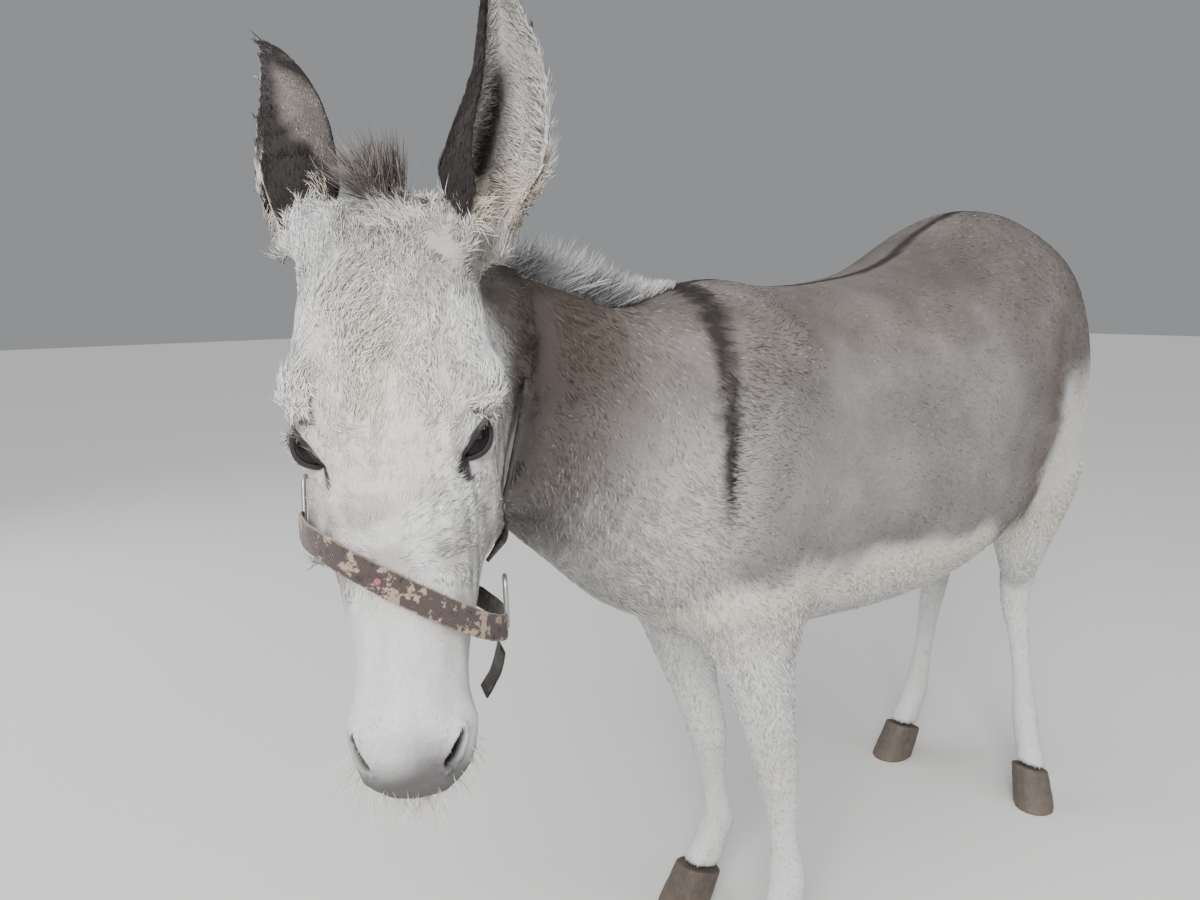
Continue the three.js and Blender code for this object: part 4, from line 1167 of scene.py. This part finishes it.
makeHeadcollar()
print("headcollar webbing made")

# rings at the ends of the noseband
ring = {"tall": 0.046, "wide": 0.034, "wire": 0.0021, "square": 7, "raised": 0.019, "off": 0.002,
        "at": {"left": 0, "right": 168}}  # degrees round the noseband


def makeRing(word, paint):
    at, out = nosebandAt(ring["at"][word])
    across = unit(nosebandAt(ring["at"][word] + 3)[0] - at)
    up = unit(np.cross(out, across))
    off = np.cross(across, up)
    bpy.ops.mesh.primitive_torus_add(major_segments=72, minor_segments=14, major_radius=1, minor_radius=0.1)
    piece = bpy.context.object
    piece.name = piece.data.name = f"ring_wire_{word}"
    p = pointsOf(piece.data)
    angle = np.arctan2(p[:, 1], p[:, 0])
    radial = (np.hypot(p[:, 0], p[:, 1]) - 1) / 0.1 * ring["wire"]
    lift = p[:, 2] / 0.1 * ring["wire"]
    power = ring["square"]
    reach = (np.abs(np.cos(angle)) ** power + np.abs(np.sin(angle)) ** power) ** (-1 / power)
    w, h = ring["wide"] / 2 - ring["wire"], ring["tall"] / 2 - ring["wire"]
    u, v = np.cos(angle) * reach, np.sin(angle) * reach
    normal = unit(np.stack([np.sign(u) * np.abs(u) ** (power - 1) / w,
                            np.sign(v) * np.abs(v) ** (power - 1) / h], 1))
    u, v = w * u + normal[:, 0] * radial, h * v + normal[:, 1] * radial
    centre = at + up * ring["raised"] + off * ring["off"]
    movePoints(piece.data, centre + np.outer(u, across) + np.outer(v, up) + np.outer(lift, off))
    editAll(piece, bpy.ops.mesh.normals_make_consistent, inside=False)
    bpy.ops.object.shade_smooth()
    finishPiece(piece, paint, "steel", f"ring_{word}")


def makeSteel():
    paint, tree, shader = newMaterial("dullSteel", 0.42, 0.5)
    dull = noiseAt(tree, objectPlace(tree), 320, 4, 0.7)
    plug(tree, mixColour(tree, dull, (0.22, 0.20, 0.18), (0.50, 0.49, 0.47)), shader, "Base Color")
    plug(tree, scaled(tree, dull, 0.35, 0.25), shader, "Roughness")
    shader.inputs["Metallic"].default_value = 0.85
    reliefOn(tree, shader, dull, 0.3, 0.0003)
    return paint


steel = makeSteel()
for word in ring["at"]:
    makeRing(word, steel)

# eyes
eyeLook = {
    "roughness": 0.09, "specular": 0.14, "coat": 0.12, "coatRoughness": 0.02,
    "iris": ((0.005, 0.0035, 0.003), (0.013, 0.009, 0.007)), "pupil": (0.003, 0.003, 0.004),
    "rim": (0.008, 0.006, 0.006), "inset": 0.5, "cornea": 0.6,
}


def makeEyeMaterial():
    paint, tree, shader = newMaterial("eyeGloss", eyeLook["roughness"], eyeLook["specular"])
    u, v, tilt = split(tree, attributeAt(tree, "eyePlace", "Vector"), "XYZ")
    iris = mixColour(tree, noiseAt(tree, objectPlace(tree), 700, 3, 0.6), *eyeLook["iris"])
    wide = sumOf(tree, "POWER", times(tree, u, 0.55), 2.0)  # the pupil is a level oval
    reach = sumOf(tree, "SQRT", sumOf(tree, "ADD", wide, sumOf(tree, "POWER", v, 2.0)))
    iris = mixColour(tree, scaled(tree, reach, -6.0, 2.6, clamp=True), iris, eyeLook["pupil"])
    rim = scaled(tree, tilt, 9.0, -9.4, clamp=True)
    plug(tree, mixColour(tree, rim, iris, eyeLook["rim"]), shader, "Base Color")
    shader.inputs["Coat Weight"].default_value = eyeLook["coat"]
    shader.inputs["Coat Roughness"].default_value = eyeLook["coatRoughness"]
    return paint


def makeEye(side, word, paint):
    centre, look, long, up = eyeAxes(side)
    bpy.ops.mesh.primitive_uv_sphere_add(segments=64, ring_count=48, radius=1)
    piece = bpy.context.object
    piece.name = piece.data.name = f"eyeball_{word}"
    p = pointsOf(piece.data)
    tilt = np.arccos(np.clip(p[:, 2], -1, 1))
    radius = eye["radius"] - eyeLook["inset"] + eyeLook["cornea"] * smooth(0.95, 0.15, tilt)
    ways = np.outer(p[:, 0], long) + np.outer(p[:, 1], up) + np.outer(p[:, 2], look)
    storeVector(piece.data, "eyePlace", np.stack([p[:, 0] * 2, p[:, 1] * 2, tilt], 1))
    movePoints(piece.data, fromHead(centre + ways * radius[:, None]))
    editAll(piece, bpy.ops.mesh.normals_make_consistent, inside=False)
    bpy.ops.object.shade_smooth()
    finishPiece(piece, paint, "eye", f"eye_{word}")


eyePaint = makeEyeMaterial()
for side, word in sides:
    makeEye(side, word, eyePaint)

# hooves
hoof = {
    "voxel": 0.0019, "smooth": 8,
    "ringWave": 1150, "ringDepth": 0.00030, "ringSlope": 0.12, "rough": 0.0003, "chips": 0.0012,
    "horn": ((0.030, 0.024, 0.021), (0.105, 0.085, 0.072)), "grain": (420, 420, 26),
    "dirt": (0.150, 0.112, 0.080), "wornFoot": (0.120, 0.090, 0.065),
}


def makeHorn():
    paint, tree, shader = newMaterial("hoofHorn", 0.62, 0.35)
    where = objectPlace(tree)
    height = split(tree, where, "XYZ")[2]
    grain = noiseAt(tree, vectorOf(tree, "MULTIPLY", where, hoof["grain"])[0], 1.0, 3, 0.6)
    mud = noiseAt(tree, where, 60, 5, 0.65)
    low = scaled(tree, height, -30.0, 1.1, clamp=True)
    dirt = scaled(tree, mud, 2.6, -1.05, clamp=True)
    horn = mixColour(tree, grain, *hoof["horn"])
    horn = mixColour(tree, times(tree, dirt, 0.55), horn, hoof["dirt"])
    horn = mixColour(tree, times(tree, low, 0.45), horn, hoof["wornFoot"])
    plug(tree, horn, shader, "Base Color")
    reliefOn(tree, shader, scaled(tree, mud, 0.6, grain), 0.5, 0.0008)
    return paint


def makeHoof(name, paint):
    piece = copyNode(name)
    piece.name = piece.data.name = name + "_horn"
    applyModifier(piece, "REMESH", mode="VOXEL", voxel_size=hoof["voxel"])
    applyModifier(piece, "SMOOTH", factor=0.5, iterations=hoof["smooth"])
    p, ways = pointsOf(piece.data), normalsOf(piece.data)
    wall = smooth(0.8, 0.5, np.abs(ways[:, 2])) * smooth(0.004, 0.012, p[:, 2])
    tilt = p[:, 2] + hoof["ringSlope"] * (p[:, 1] - p[:, 1].mean())
    rings = np.sin(tilt * hoof["ringWave"] + 0.6 * ripple(p, 60, 71))
    rings = rings * hoof["ringDepth"] * (0.5 + 0.5 * ripple(p, 35, 72))
    chip = -hoof["chips"] * smooth(0.9, 1.6, ripple(p, 190, 73)) * smooth(0.012, 0.002, p[:, 2])
    p += ways * (wall * (rings + hoof["rough"] * ripple(p, 150, 74)) + chip * wall)[:, None]
    p[:, 2] = np.maximum(p[:, 2], 0)
    movePoints(piece.data, p)
    pick(piece)
    bpy.ops.object.shade_smooth()
    finishPiece(piece, paint, "hoof", name)


hornPaint = makeHorn()
for name in [n for n in nodes if n.startswith("hoof_")]:
    makeHoof(name, hornPaint)
print("rings, eyes and hooves made")

# tufts
tuftSettings = {
    "patch": 0.003,  # across, on the OFBake map
    "sunk": 0.0008,  # metres that a root stands inside the skin
    "body": 0.9,  # where the rings stand
    "thick": 0.7,  # share of the width
    "readAt": 0.45,  # share of the length where a tuft reads its markings
}


def rootsOn(mask, count, density, seed):  # evenly spread places on the skin, denser where density is high
    rng = np.random.default_rng(seed)
    chosen = np.nonzero(mask)[0]
    total = np.cumsum(skinData["area"][chosen] * density[chosen])
    picks = (np.arange(count) + rng.uniform(0, 1, count)) / count * total[-1]
    faces = chosen[np.minimum(np.searchsorted(total, picks), len(chosen) - 1)]
    u, v = rng.uniform(0, 1, (2, count))
    flip = u + v > 1
    u, v = np.where(flip, 1 - u, u), np.where(flip, 1 - v, v)
    corners = skinData["tris"][faces]
    shares = np.stack([1 - u - v, u, v], 1)[:, :, None]
    places = (skinData["points"][corners] * shares).sum(1)
    ways = unit((skinData["ways"][corners] * shares).sum(1))
    return places, ways, skinData["triOwner"][faces]


def clumpOf(points, size, seed):  # gathers roots into patches of about that size
    rng = np.random.default_rng(seed)
    warp = np.stack([ripple(points, 2.2 / size, seed + k) for k in range(3)], 1) * size * 0.35
    cell = np.floor((points + warp) / size + rng.uniform(0, 1, 3)).astype(int)
    _, index = np.unique(cell @ np.array([73856093, 19349663, 83492791]), return_inverse=True)
    count = np.maximum(np.bincount(index), 1)
    centre = np.stack([np.bincount(index, points[:, k]) / count for k in range(3)], 1)
    return index, centre, rng.uniform(0, 1, len(count))


def roundMap(points, way, front, seam=0.0):  # an unwrap around the shape's own axis
    slots = 24
    way, front = unit(np.array(way, float)), np.array(front, float)
    front = unit(front - way * (way @ front))
    across = np.cross(way, front)
    height = points @ way
    low, span = height.min(), max(np.ptp(height), 1e-6)
    slot = np.clip(((height - low) / span * slots).astype(int), 0, slots - 1)
    count = np.maximum(np.bincount(slot, minlength=slots), 1)
    flat = np.stack([points @ front, points @ across], 1)
    centre = np.stack([np.bincount(slot, flat[:, k], slots) / count for k in (0, 1)], 1)
    away = flat - centre[slot]
    angle = np.arctan2(away[:, 1], away[:, 0]) / (2 * np.pi) + 0.5
    return np.stack([0.01 + 0.98 * ((angle + seam) % 1), 0.01 + 0.98 * (height - low) / span], 1)


def bladeFaces(rings):  # one tuft: a root point, some three-sided rings and a tip
    faces = []
    tip = 1 + 3 * rings
    for k in range(3):
        a, b = 1 + k, 1 + (k + 1) % 3
        faces.append((0, a, b))
        for r in range(rings - 1):
            faces.append((a + 3 * r, a + 3 * r + 3, b + 3 * r))
            faces.append((b + 3 * r, a + 3 * r + 3, b + 3 * r + 3))
        faces.append((a + 3 * (rings - 1), tip, b + 3 * (rings - 1)))
    return np.array(faces)


def triMesh(name, verts, tris):
    mesh = bpy.data.meshes.new(name)
    mesh.vertices.add(len(verts))
    mesh.vertices.foreach_set("co", verts.ravel())
    mesh.loops.add(tris.size)
    mesh.loops.foreach_set("vertex_index", tris.ravel())
    mesh.polygons.add(len(tris))
    mesh.polygons.foreach_set("loop_start", np.arange(0, tris.size, 3))
    mesh.polygons.foreach_set("use_smooth", np.ones(len(tris), bool))
    mesh.update(calc_edges=True)
    return mesh


def makeTufts(name, roots, ways, lies, owner, look, mapped, slotName, seed, over=None):
    count, rings = len(roots), look["rings"]
    rng = np.random.default_rng(seed)

    def vary(key, amount):
        return np.broadcast_to(look[key], count) * rng.uniform(1 - amount, 1 + amount, count)

    def steady(key, standard):
        return np.broadcast_to(look.get(key, standard), count)

    length, width, rise = vary("length", 0.28), vary("width", 0.25), vary("rise", 0.5)
    curl = steady("curl", 0.12) * rng.normal(0, 1, count)
    turn = steady("stray", 0.16) * rng.normal(0, 1, count)
    lies = lies * np.cos(turn)[:, None] + np.cross(ways, lies) * np.sin(turn)[:, None]
    index, centre, chance = clumpOf(roots, look["clump"], seed)
    middle = np.stack([np.bincount(index, lies[:, k]) for k in range(3)], 1)
    target = centre[index] + unit(middle)[index] * (length * 1.1)[:, None]
    pull = steady("gather", 0.35)[:, None]
    lies = unit(lies * length[:, None] * (1 - pull) + (target - roots) * pull)
    lies = unit(onSurface(lies, ways))
    side = np.cross(ways, lies)
    start = lies * np.cos(rise)[:, None] + ways * np.sin(rise)[:, None]
    rng.uniform(0, 1, count)  # passed over, so that the tufts keep their shades
    droop = steady("droop", 0.55) * np.sin(rise)

    def pathAt(s):
        return (roots - ways * tuftSettings["sunk"] + start * (length * s)[:, None]
                + side * (length * (curl * s * s))[:, None] - ways * (length * (droop * s * s))[:, None])

    each = 2 + 3 * rings
    steps = (np.arange(rings) + tuftSettings["body"]) / (rings + tuftSettings["body"])
    verts = np.empty((count, each, 3))
    verts[:, 0], verts[:, -1] = pathAt(0.0), pathAt(1.0)
    for r, s in enumerate(steps):
        share = math.sin(math.pi * (0.22 + 0.56 * (r + 0.5) / rings)) if rings > 1 else 1.0
        at, half = pathAt(s), (width * share / 2)[:, None]
        verts[:, 1 + 3 * r] = at - side * half
        verts[:, 2 + 3 * r] = at + side * half
        verts[:, 3 + 3 * r] = at + ways * half * tuftSettings["thick"]
    tris = (bladeFaces(rings)[None] + (np.arange(count) * each)[:, None, None]).reshape(-1, 3)
    mesh = triMesh(name, verts.reshape(-1, 3), tris)

    reach = roots + lies * (length * tuftSettings["readAt"])[:, None]
    first, second = markingsAt(reach, owner, ways) if over is None else over
    along = np.concatenate([[0.0], np.repeat(steps, 3), [1.0]])
    tuft = np.stack([np.tile(along, count), np.repeat(rng.uniform(0, 1, count), each),
                     np.repeat(chance[index], each), np.ones(count * each)], 1)
    storeColour(mesh, "markings", np.repeat(first, each, 0))
    storeColour(mesh, "tints", np.repeat(second * (1, 0.85, 1, 1), each, 0))
    storeColour(mesh, "tuft", tuft)
    patch = np.stack([along - 0.5, np.concatenate([[0.0], np.tile([-0.5, 0.5, 0.0], rings), [0.0]])], 1)
    uv = (mapped[:, None, :] + patch[None] * tuftSettings["patch"]).reshape(-1, 2)
    mesh.uv_layers.new(name="OFBake").data.foreach_set("uv", uv[tris.ravel()].ravel())
    piece = addObject(name, mesh)
    finishPiece(piece, coatMaterial, slotName)
    print(name, count, "tufts,", len(tris), "faces")
    return piece


middle, triOwner, triWay = skinData["middle"], skinData["triOwner"], skinData["triWay"]
triLocal, triFace = toHead(middle), skinData["triWay"] @ headAxes
onTrunk, onNeck, onHead, onTail = (isNode(triOwner, n) for n in ("trunk", "neck", "head", "tail"))
flat = np.ones(len(middle))
faceAxis, faceFront = headAxes[:, 2], headAxes[:, 1]


def openSkin():  # where no hair grows: eyes, nostrils, lips
    bare = lineDistance(triLocal, mouth["line"]) < 2.4
    for side, _ in sides:
        outside, depth, _ = nostrilPlace(triLocal, side)
        bare |= (np.abs(depth) < 26) & (outside < 1.0)
        outside, _, _, reach = lidPlace(triLocal, side)
        bare |= (reach < 40) & (outside < 3.4)
    return onHead & bare


def makeStrapFinder():
    places = np.concatenate(strapLines)[::3]
    finder = KDTree(len(places))
    for k, p in enumerate(places.tolist()):
        finder.insert(p, k)
    finder.balance()
    return finder


bald = openSkin()
strapFinder = makeStrapFinder()


def underStrap(points):  # 1 where a strap presses the hair down
    return smooth(0.018, 0.010, np.array([strapFinder.find(p)[2] for p in points.tolist()]))


def eyeReach(local):  # distance from the nearer eye's centre
    return np.minimum(*(lidPlace(local, side)[3] for side, _ in sides))


# each look gives a tuft's rings, length, width, rise off the skin (radians), clump size, the share by
# which it gathers into its clump, and how far it strays, curls and droops
def bodyLook(points):
    y, z = points[:, 1], points[:, 2]
    low = smooth(0.66, 0.56, z)
    front = smooth(-0.25, -0.42, y)
    chest = front * smooth(0.85, 0.70, z)
    press = 1 - 0.5 * (underStrap(points) if (y < -0.5).any() else 0)
    return {"rings": 1, "length": (0.0165 + 0.001 * front + 0.006 * low + 0.005 * chest) * press,
            "width": 0.00125 + 0.0001 * front + 0.0003 * low,
            "rise": (0.075 + 0.012 * front + 0.14 * low + 0.12 * chest) * press,
            "clump": 0.019, "gather": 0.30 + 0.3 * chest, "stray": 0.20, "curl": 0.10 + 0.15 * chest}


def legLook(points):
    y, z = points[:, 1], points[:, 2]
    top = smooth(0.25, 0.55, z)
    elbow = bump(np.hypot((z - 0.56) / 0.05, (y + 0.16) / 0.05), 1)
    return {"rings": 1, "length": 0.0085 + 0.0075 * top + 0.014 * elbow, "width": 0.0012 + 0.0004 * top,
            "rise": 0.17 + 0.06 * top + 0.2 * elbow, "clump": 0.011, "gather": 0.4, "stray": 0.2}


def faceLook(points):
    local, pressed = toHead(points), underStrap(points)
    _, y, z = local.T
    nose, muzzle, jaw = smooth(-290, -330, z), smooth(-395, -430, z), smooth(0, 60, y)
    length = 0.0118 - 0.0042 * nose - 0.0034 * muzzle + 0.0065 * jaw
    length = length * (0.5 + 0.5 * smooth(24, 42, eyeReach(local))) * (1 - 0.45 * pressed)
    return {"rings": 1, "length": length, "width": 0.0006 + length * 0.050,
            "rise": (0.15 - 0.07 * nose + 0.10 * jaw) * (1 - 0.6 * pressed),
            "clump": 0.012, "gather": 0.45, "stray": 0.22, "curl": 0.14}


def browLook(points):
    _, y, z = toHead(points).T
    brow, back = smooth(-215, -130, z), smooth(20, 90, y)
    lump = 0.5 + 0.5 * ripple(points, 95, 51)
    length = (0.0118 + 0.0065 * brow * (1 - 0.5 * back)) * (1 - 0.45 * underStrap(points))
    rise = (0.18 + 0.26 * brow * lump) * (1 - 0.5 * back) * (1 - 0.6 * napeShare(points))
    return {"rings": 1, "length": length, "width": 0.0010 + 0.0002 * brow, "rise": rise,
            "clump": 0.021, "gather": 0.68, "stray": 0.25, "curl": 0.18 + 0.16 * brow, "droop": 0.6}


def growCoat(name, mask, count, density, lookOf, axis, front, slotName, seed, seam=0.0):
    roots, ways, owner = rootsOn(mask & ~bald, count, density, seed)
    lies = unit(onSurface(layAt(roots, owner, ways), ways))
    mapped = roundMap(roots, axis, front, seam)
    makeTufts(name, roots, ways, lies, owner, lookOf(roots), mapped, slotName, seed)


def growBody():
    left = middle[:, 0] > midX
    along, under = (0, 1, 0), (0, 0, -1)
    growCoat("coat_trunk_left", onTrunk & left, 26000, flat, bodyLook, along, under, "coat_grey", 11, 0.25)
    growCoat("coat_trunk_right", onTrunk & ~left, 26000, flat, bodyLook, along, under, "coat_grey", 12, 0.75)
    growCoat("coat_neck", onNeck, 30000, flat, bodyLook, (-0.15, 0.9, -0.35), under, "coat_grey", 13)


def growFace():
    z = triLocal[:, 2]
    density = (1.0 + 1.3 * smooth(-280, -330, z) + 1.6 * smooth(-390, -430, z)
               + 0.8 * smooth(48, 30, eyeReach(triLocal)))
    leftFace = triLocal[:, 0] > 0
    upper = z > -205 + 14 * ripple(middle, 60, 81)
    for word, half, seed in (("left", leftFace, 14), ("right", ~leftFace, 15)):
        growCoat("coat_face_" + word, onHead & half & ~upper, 18000, density, faceLook, faceAxis, faceFront,
                 "coat_white", seed)
    growCoat("coat_forehead", onHead & upper, 32000, flat, browLook, faceAxis, faceFront, "coat_white", 16)


def growLegs():
    density = 1 + 0.9 * smooth(0.45, 0.20, middle[:, 2])
    for k, name in enumerate(legs):
        growCoat("coat_" + name, isNode(triOwner, name), 8500, density, legLook, (0, 0, 1), (0, 1, 0),
                 "coat_white", 20 + k)


growBody()
growFace()
growLegs()
print("coat of the body, face and legs grown")

# ears
earHair = {
    "outer": 9000, "lining": 5600,  # tufts
    "medial": -0.45,  # across, where the dark edge ends and the lining starts
    "open": 0.12,  # how far a face must look into the ear to be lining
}


def outerEar(name, points):  # lie and look
    t, a, along, side, _ = earPlace(name, points)
    base = smooth(0.20, 0.04, t)
    rimLie, rim = smooth(0.7, 0.95, np.abs(a)), smooth(0.75, 0.95, np.abs(a))
    look = {"rings": 1, "length": 0.0096 + 0.007 * base + 0.003 * rim, "width": 0.0012 + 0.0003 * base,
            "rise": 0.14 + 0.16 * base + 0.10 * rim, "clump": 0.010, "gather": 0.35 + 0.2 * base,
            "stray": 0.18, "curl": 0.1 + 0.15 * base}
    return along + side * (np.sign(a) * (0.15 + 0.3 * rimLie))[:, None], look


def innerEar(name, points):
    t, a, along, side, _ = earPlace(name, points)
    medial = earHair["medial"]
    up = 0.15 + 0.55 * smooth(0.3, 0.8, t)
    inward = along * up[:, None] - side * np.sign(a)[:, None] * 0.9
    rim = np.where(a < 0, bump(a - medial - 0.12, 0.16) * (a > medial), smooth(0.30, 0.75, a))
    base = smooth(0.42, 0.15, t)
    look = {"rings": 2, "length": 0.008 + 0.014 * rim + 0.008 * base * rim, "width": 0.0010,
            "rise": 0.30 + 0.20 * rim, "clump": 0.009, "gather": 0.35, "stray": 0.25, "curl": 0.2}
    return np.where((a < medial)[:, None], along, inward), look


def earMap(name, points, middleAt):  # each side of the ear has its half of the map
    t, a = earPlace(name, points)[:2]
    return np.stack([0.23 * np.clip(a, -1.1, 1.1) / 1.1 + middleAt,
                     0.02 + 0.96 * np.clip(t + 0.1, 0, 1.1) / 1.1], 1)


def growEar(name, seed):
    medial = earHair["medial"]
    mine = isNode(triOwner, name)
    share, across, _, _, opening = earPlace(name, middle)
    inside = mine & ((triWay * opening).sum(1) > earHair["open"]) & (share > 0.06)
    outerWeight = 1 + 0.5 * smooth(0.3, 0.1, share)
    innerWeight = np.where(np.abs(across) > 0.3, 1.6, 0.6)
    innerWeight = innerWeight * (0.35 + 0.65 * smooth(medial - 0.1, medial, across))
    innerWeight = innerWeight * smooth(*ears[name]["liningEdge"], across)
    for word, mask, weight, hairOf, middleAt, slotName in (
            ("outer", mine & ~inside, outerWeight, outerEar, 0.25, "coat_grey"),
            ("lining", inside, innerWeight, innerEar, 0.75, "coat_cream")):
        roots, ways, owner = rootsOn(mask, earHair[word], weight, seed)
        lies, look = hairOf(name, roots)
        makeTufts(f"{name}_{word}", roots, ways, unit(onSurface(lies, ways)), owner, look,
                  earMap(name, roots, middleAt), slotName, seed)
        seed += 1


growEar("ear_left", 31)
growEar("ear_right", 35)
print("ears' coat grown")


# longer hair: each value of a hair dictionary is a number, or a function of the places of the roots
def painted(count, dark, pale, warm, cream=0.0):
    marks = [np.broadcast_to(v, count) for v in (dark, pale, warm, 1.0)]
    tints = [np.broadcast_to(v, count) for v in (cream, 0.0, 0.0, 1.0)]
    return np.stack(marks, 1), np.stack(tints, 1)


def growHair(name, mask, hair, colours, slotName, seed, *replaced):
    roots, ways, owner = rootsOn(mask, hair["count"], flat, seed)
    lies = unit(onSurface(np.broadcast_to(np.array(hair["way"], float), roots.shape), ways) + 1e-6)
    mapped = roundMap(roots, (0, 1, 0) if name == "mane_hair" else faceAxis, (0, 0, 1))
    look = {key: value(roots) if callable(value) else value for key, value in hair.items()}
    piece = makeTufts(name, roots, ways, lies, owner, look, mapped, slotName, seed,
                      colours(roots) if colours else None)
    if replaced:
        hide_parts(*replaced)


crest = {"y": [-0.64, -0.58, -0.54, -0.50, -0.46, -0.42, -0.38, -0.34, -0.30, -0.26],
         "x": [0.066, 0.050, 0.036, 0.026, 0.012, 0.001, -0.010, -0.020, -0.027, -0.033],
         "length": [0.030, 0.040, 0.045, 0.050, 0.050, 0.046, 0.040, 0.030, 0.018, 0.010]}
mane = {
    "count": 1250, "way": (0.1, 1, 0.25), "rings": 3, "width": 0.0016,
    "length": lambda p: np.interp(p[:, 1], crest["y"], crest["length"]) * 1.1,
    "rise": 1.1, "droop": 0.06, "clump": 0.016, "gather": 0.78, "stray": 0.4, "curl": 0.10,
}
lock = {"x": 3, "y": -6}  # middle of the forelock, in the head's frame
forelock = {
    "count": 800, "way": headWay((-0.5, -0.3, 0.6)), "rings": 3, "length": 0.058, "width": 0.0012,
    "rise": 1.2, "droop": 0.0, "clump": 0.012, "gather": 0.45, "stray": 0.9, "curl": 0.12,
}
poll = {
    "count": 1800, "way": headWay((-0.2, -0.5, 0.6)), "rings": 2, "width": 0.0012,
    "length": lambda p: (0.024 + 0.006 * ripple(p, 90, 93)) * (1 - 0.45 * pollAway(p)),
    "rise": lambda p: 0.95 - 0.45 * pollAway(p),
    "droop": 0.15, "clump": 0.016, "gather": 0.65, "stray": 0.7, "curl": 0.2,
}
tail = {
    "count": 3000, "way": (0, 0.2, -1), "rings": 3, "width": 0.0022,
    "length": lambda p: 0.020 + 0.026 * smooth(0.86, 0.66, p[:, 2]) - 0.026 * smooth(0.60, 0.52, p[:, 2]),
    "rise": lambda p: 0.05 + 0.30 * smooth(0.80, 0.62, p[:, 2]),
    "droop": 0.5, "clump": 0.016, "gather": 0.5, "stray": 0.12,
}
whiskers = {
    "count": 380, "way": headWay((0, 0.2, -1.0)), "rings": 3, "length": 0.036, "width": 0.0007,
    "rise": 0.9, "droop": 0.25, "clump": 0.01, "gather": 0.0, "stray": 0.6, "curl": 0.2,
}
brows = {  # place in the head's frame, size of the patch, tufts, length, rise and seed
    "left": ((78, -52, -158), 15, 260, 0.015, 0.35, 45),
    "right": ((-77, -70, -143), 18, 420, 0.022, 0.55, 47),
}
browHair = {"rings": 2, "width": 0.0016, "droop": 0.75,
            "clump": 0.010, "gather": 0.6, "stray": 0.35, "curl": 0.25}
lashes = {"count": 45, "rings": 2, "length": 0.008, "width": 0.0005, "rise": 0.9, "droop": 0.1,
          "clump": 0.006, "gather": 0.0, "stray": 0.3, "curl": 0.3}


def maneColours(p):
    return painted(len(p), 0.5 * smooth(-0.1, 0.7, ripple(p, 110, 91)), 0.78, 0.05)


def lockColours(p):
    x, y, _ = toHead(p).T
    core = bump(np.hypot((x - 6) / 9, (y + 6) / 12), 1)
    return painted(len(p), np.clip(0.25 + 0.75 * core, 0, 0.95), 0.25, 0.55, 0.2)


def pollAway(p):  # 0 at the lock, 1 at the edge of the longer hair round it
    x, y, _ = toHead(p).T
    return smooth(10, 40, np.hypot(x - lock["x"], y - lock["y"]))


def pollColours(p):
    away = pollAway(p)
    pale = 0.45 + 0.45 * away + 0.15 * ripple(p, 60, 94)
    return painted(len(p), 0.12 * (1 - away), pale, 0.30 - 0.18 * away, 0.2)


def growMane():
    away = np.abs(middle[:, 0] - np.interp(middle[:, 1], crest["y"], crest["x"]))
    onCrest = ((onNeck | onTrunk) & (away < 0.009) & (triWay[:, 2] > 0.35)
               & (middle[:, 1] > -0.66) & (middle[:, 1] < -0.27) & (middle[:, 2] > 0.95))
    growHair("mane_hair", onCrest, mane, maneColours, "hair_pale", 41, "mane")


def growForelock():
    z, faceUp = triLocal[:, 2], triFace[:, 2]
    away = np.hypot(triLocal[:, 0] - lock["x"], triLocal[:, 1] - lock["y"])
    rough = 9 * ripple(middle, 110, 95)
    onLock = onHead & (away < 17) & (z > -12) & (faceUp > 0.15)
    onPoll = onHead & (away + rough < 42) & (z + rough > -14) & (faceUp > 0.25)
    growHair("forelock_hair", onLock, forelock, lockColours, "hair_dark", 42, "forelock")
    growHair("poll_hair", onPoll, poll, pollColours, "hair_pale", 49)


def growWhiskers():
    clear = np.minimum(*(nostrilPlace(triLocal, side)[0] for side, _ in sides)) > 8
    onChin = onHead & (triLocal[:, 2] < -432) & (triFace[:, 1] > -0.75) & ~bald & clear
    growHair("whiskers", onChin, whiskers, lambda p: painted(len(p), 0.0, 1.0, 0.0, 0.25), "hair_pale", 44)


def growBrow(side, word):
    place, size, count, length, rise, seed = brows[word]
    outside, u, v, reach = lidPlace(triLocal, side)
    _, look, long, _ = eyeAxes(side)
    onBrow = onHead & (distance(triLocal, place) < size)
    onLid = onHead & (reach < 40) & (outside > 1.6) & (outside < 3.4) & (v > 0) & (u > 0)
    tufts = {**browHair, "count": count, "length": length, "rise": rise,
             "way": headWay(0.7 * look - 0.5 * long)}
    growHair(f"brow_tufts_{word}", onBrow, tufts, lambda p: painted(len(p), 0.0, 1.0, 0.0, 0.1),
             "coat_white", seed)
    hairs = {**lashes, "way": headWay(0.3 * look + 0.8 * long)}
    growHair(f"lashes_{word}", onLid, hairs, lambda p: painted(len(p), 0.75, 0.6, 0.1), "hair_pale", seed + 1)


growMane()
growForelock()
growHair("tail_hair", onTail, tail, None, "hair_dark", 43)
growWhiskers()
for side, word in sides:
    growBrow(side, word)
print("mane, forelock, tail and face hairs grown")

finishPiece(skin, skinMaterial, "coat_grey", *flesh)
print("all pieces made")
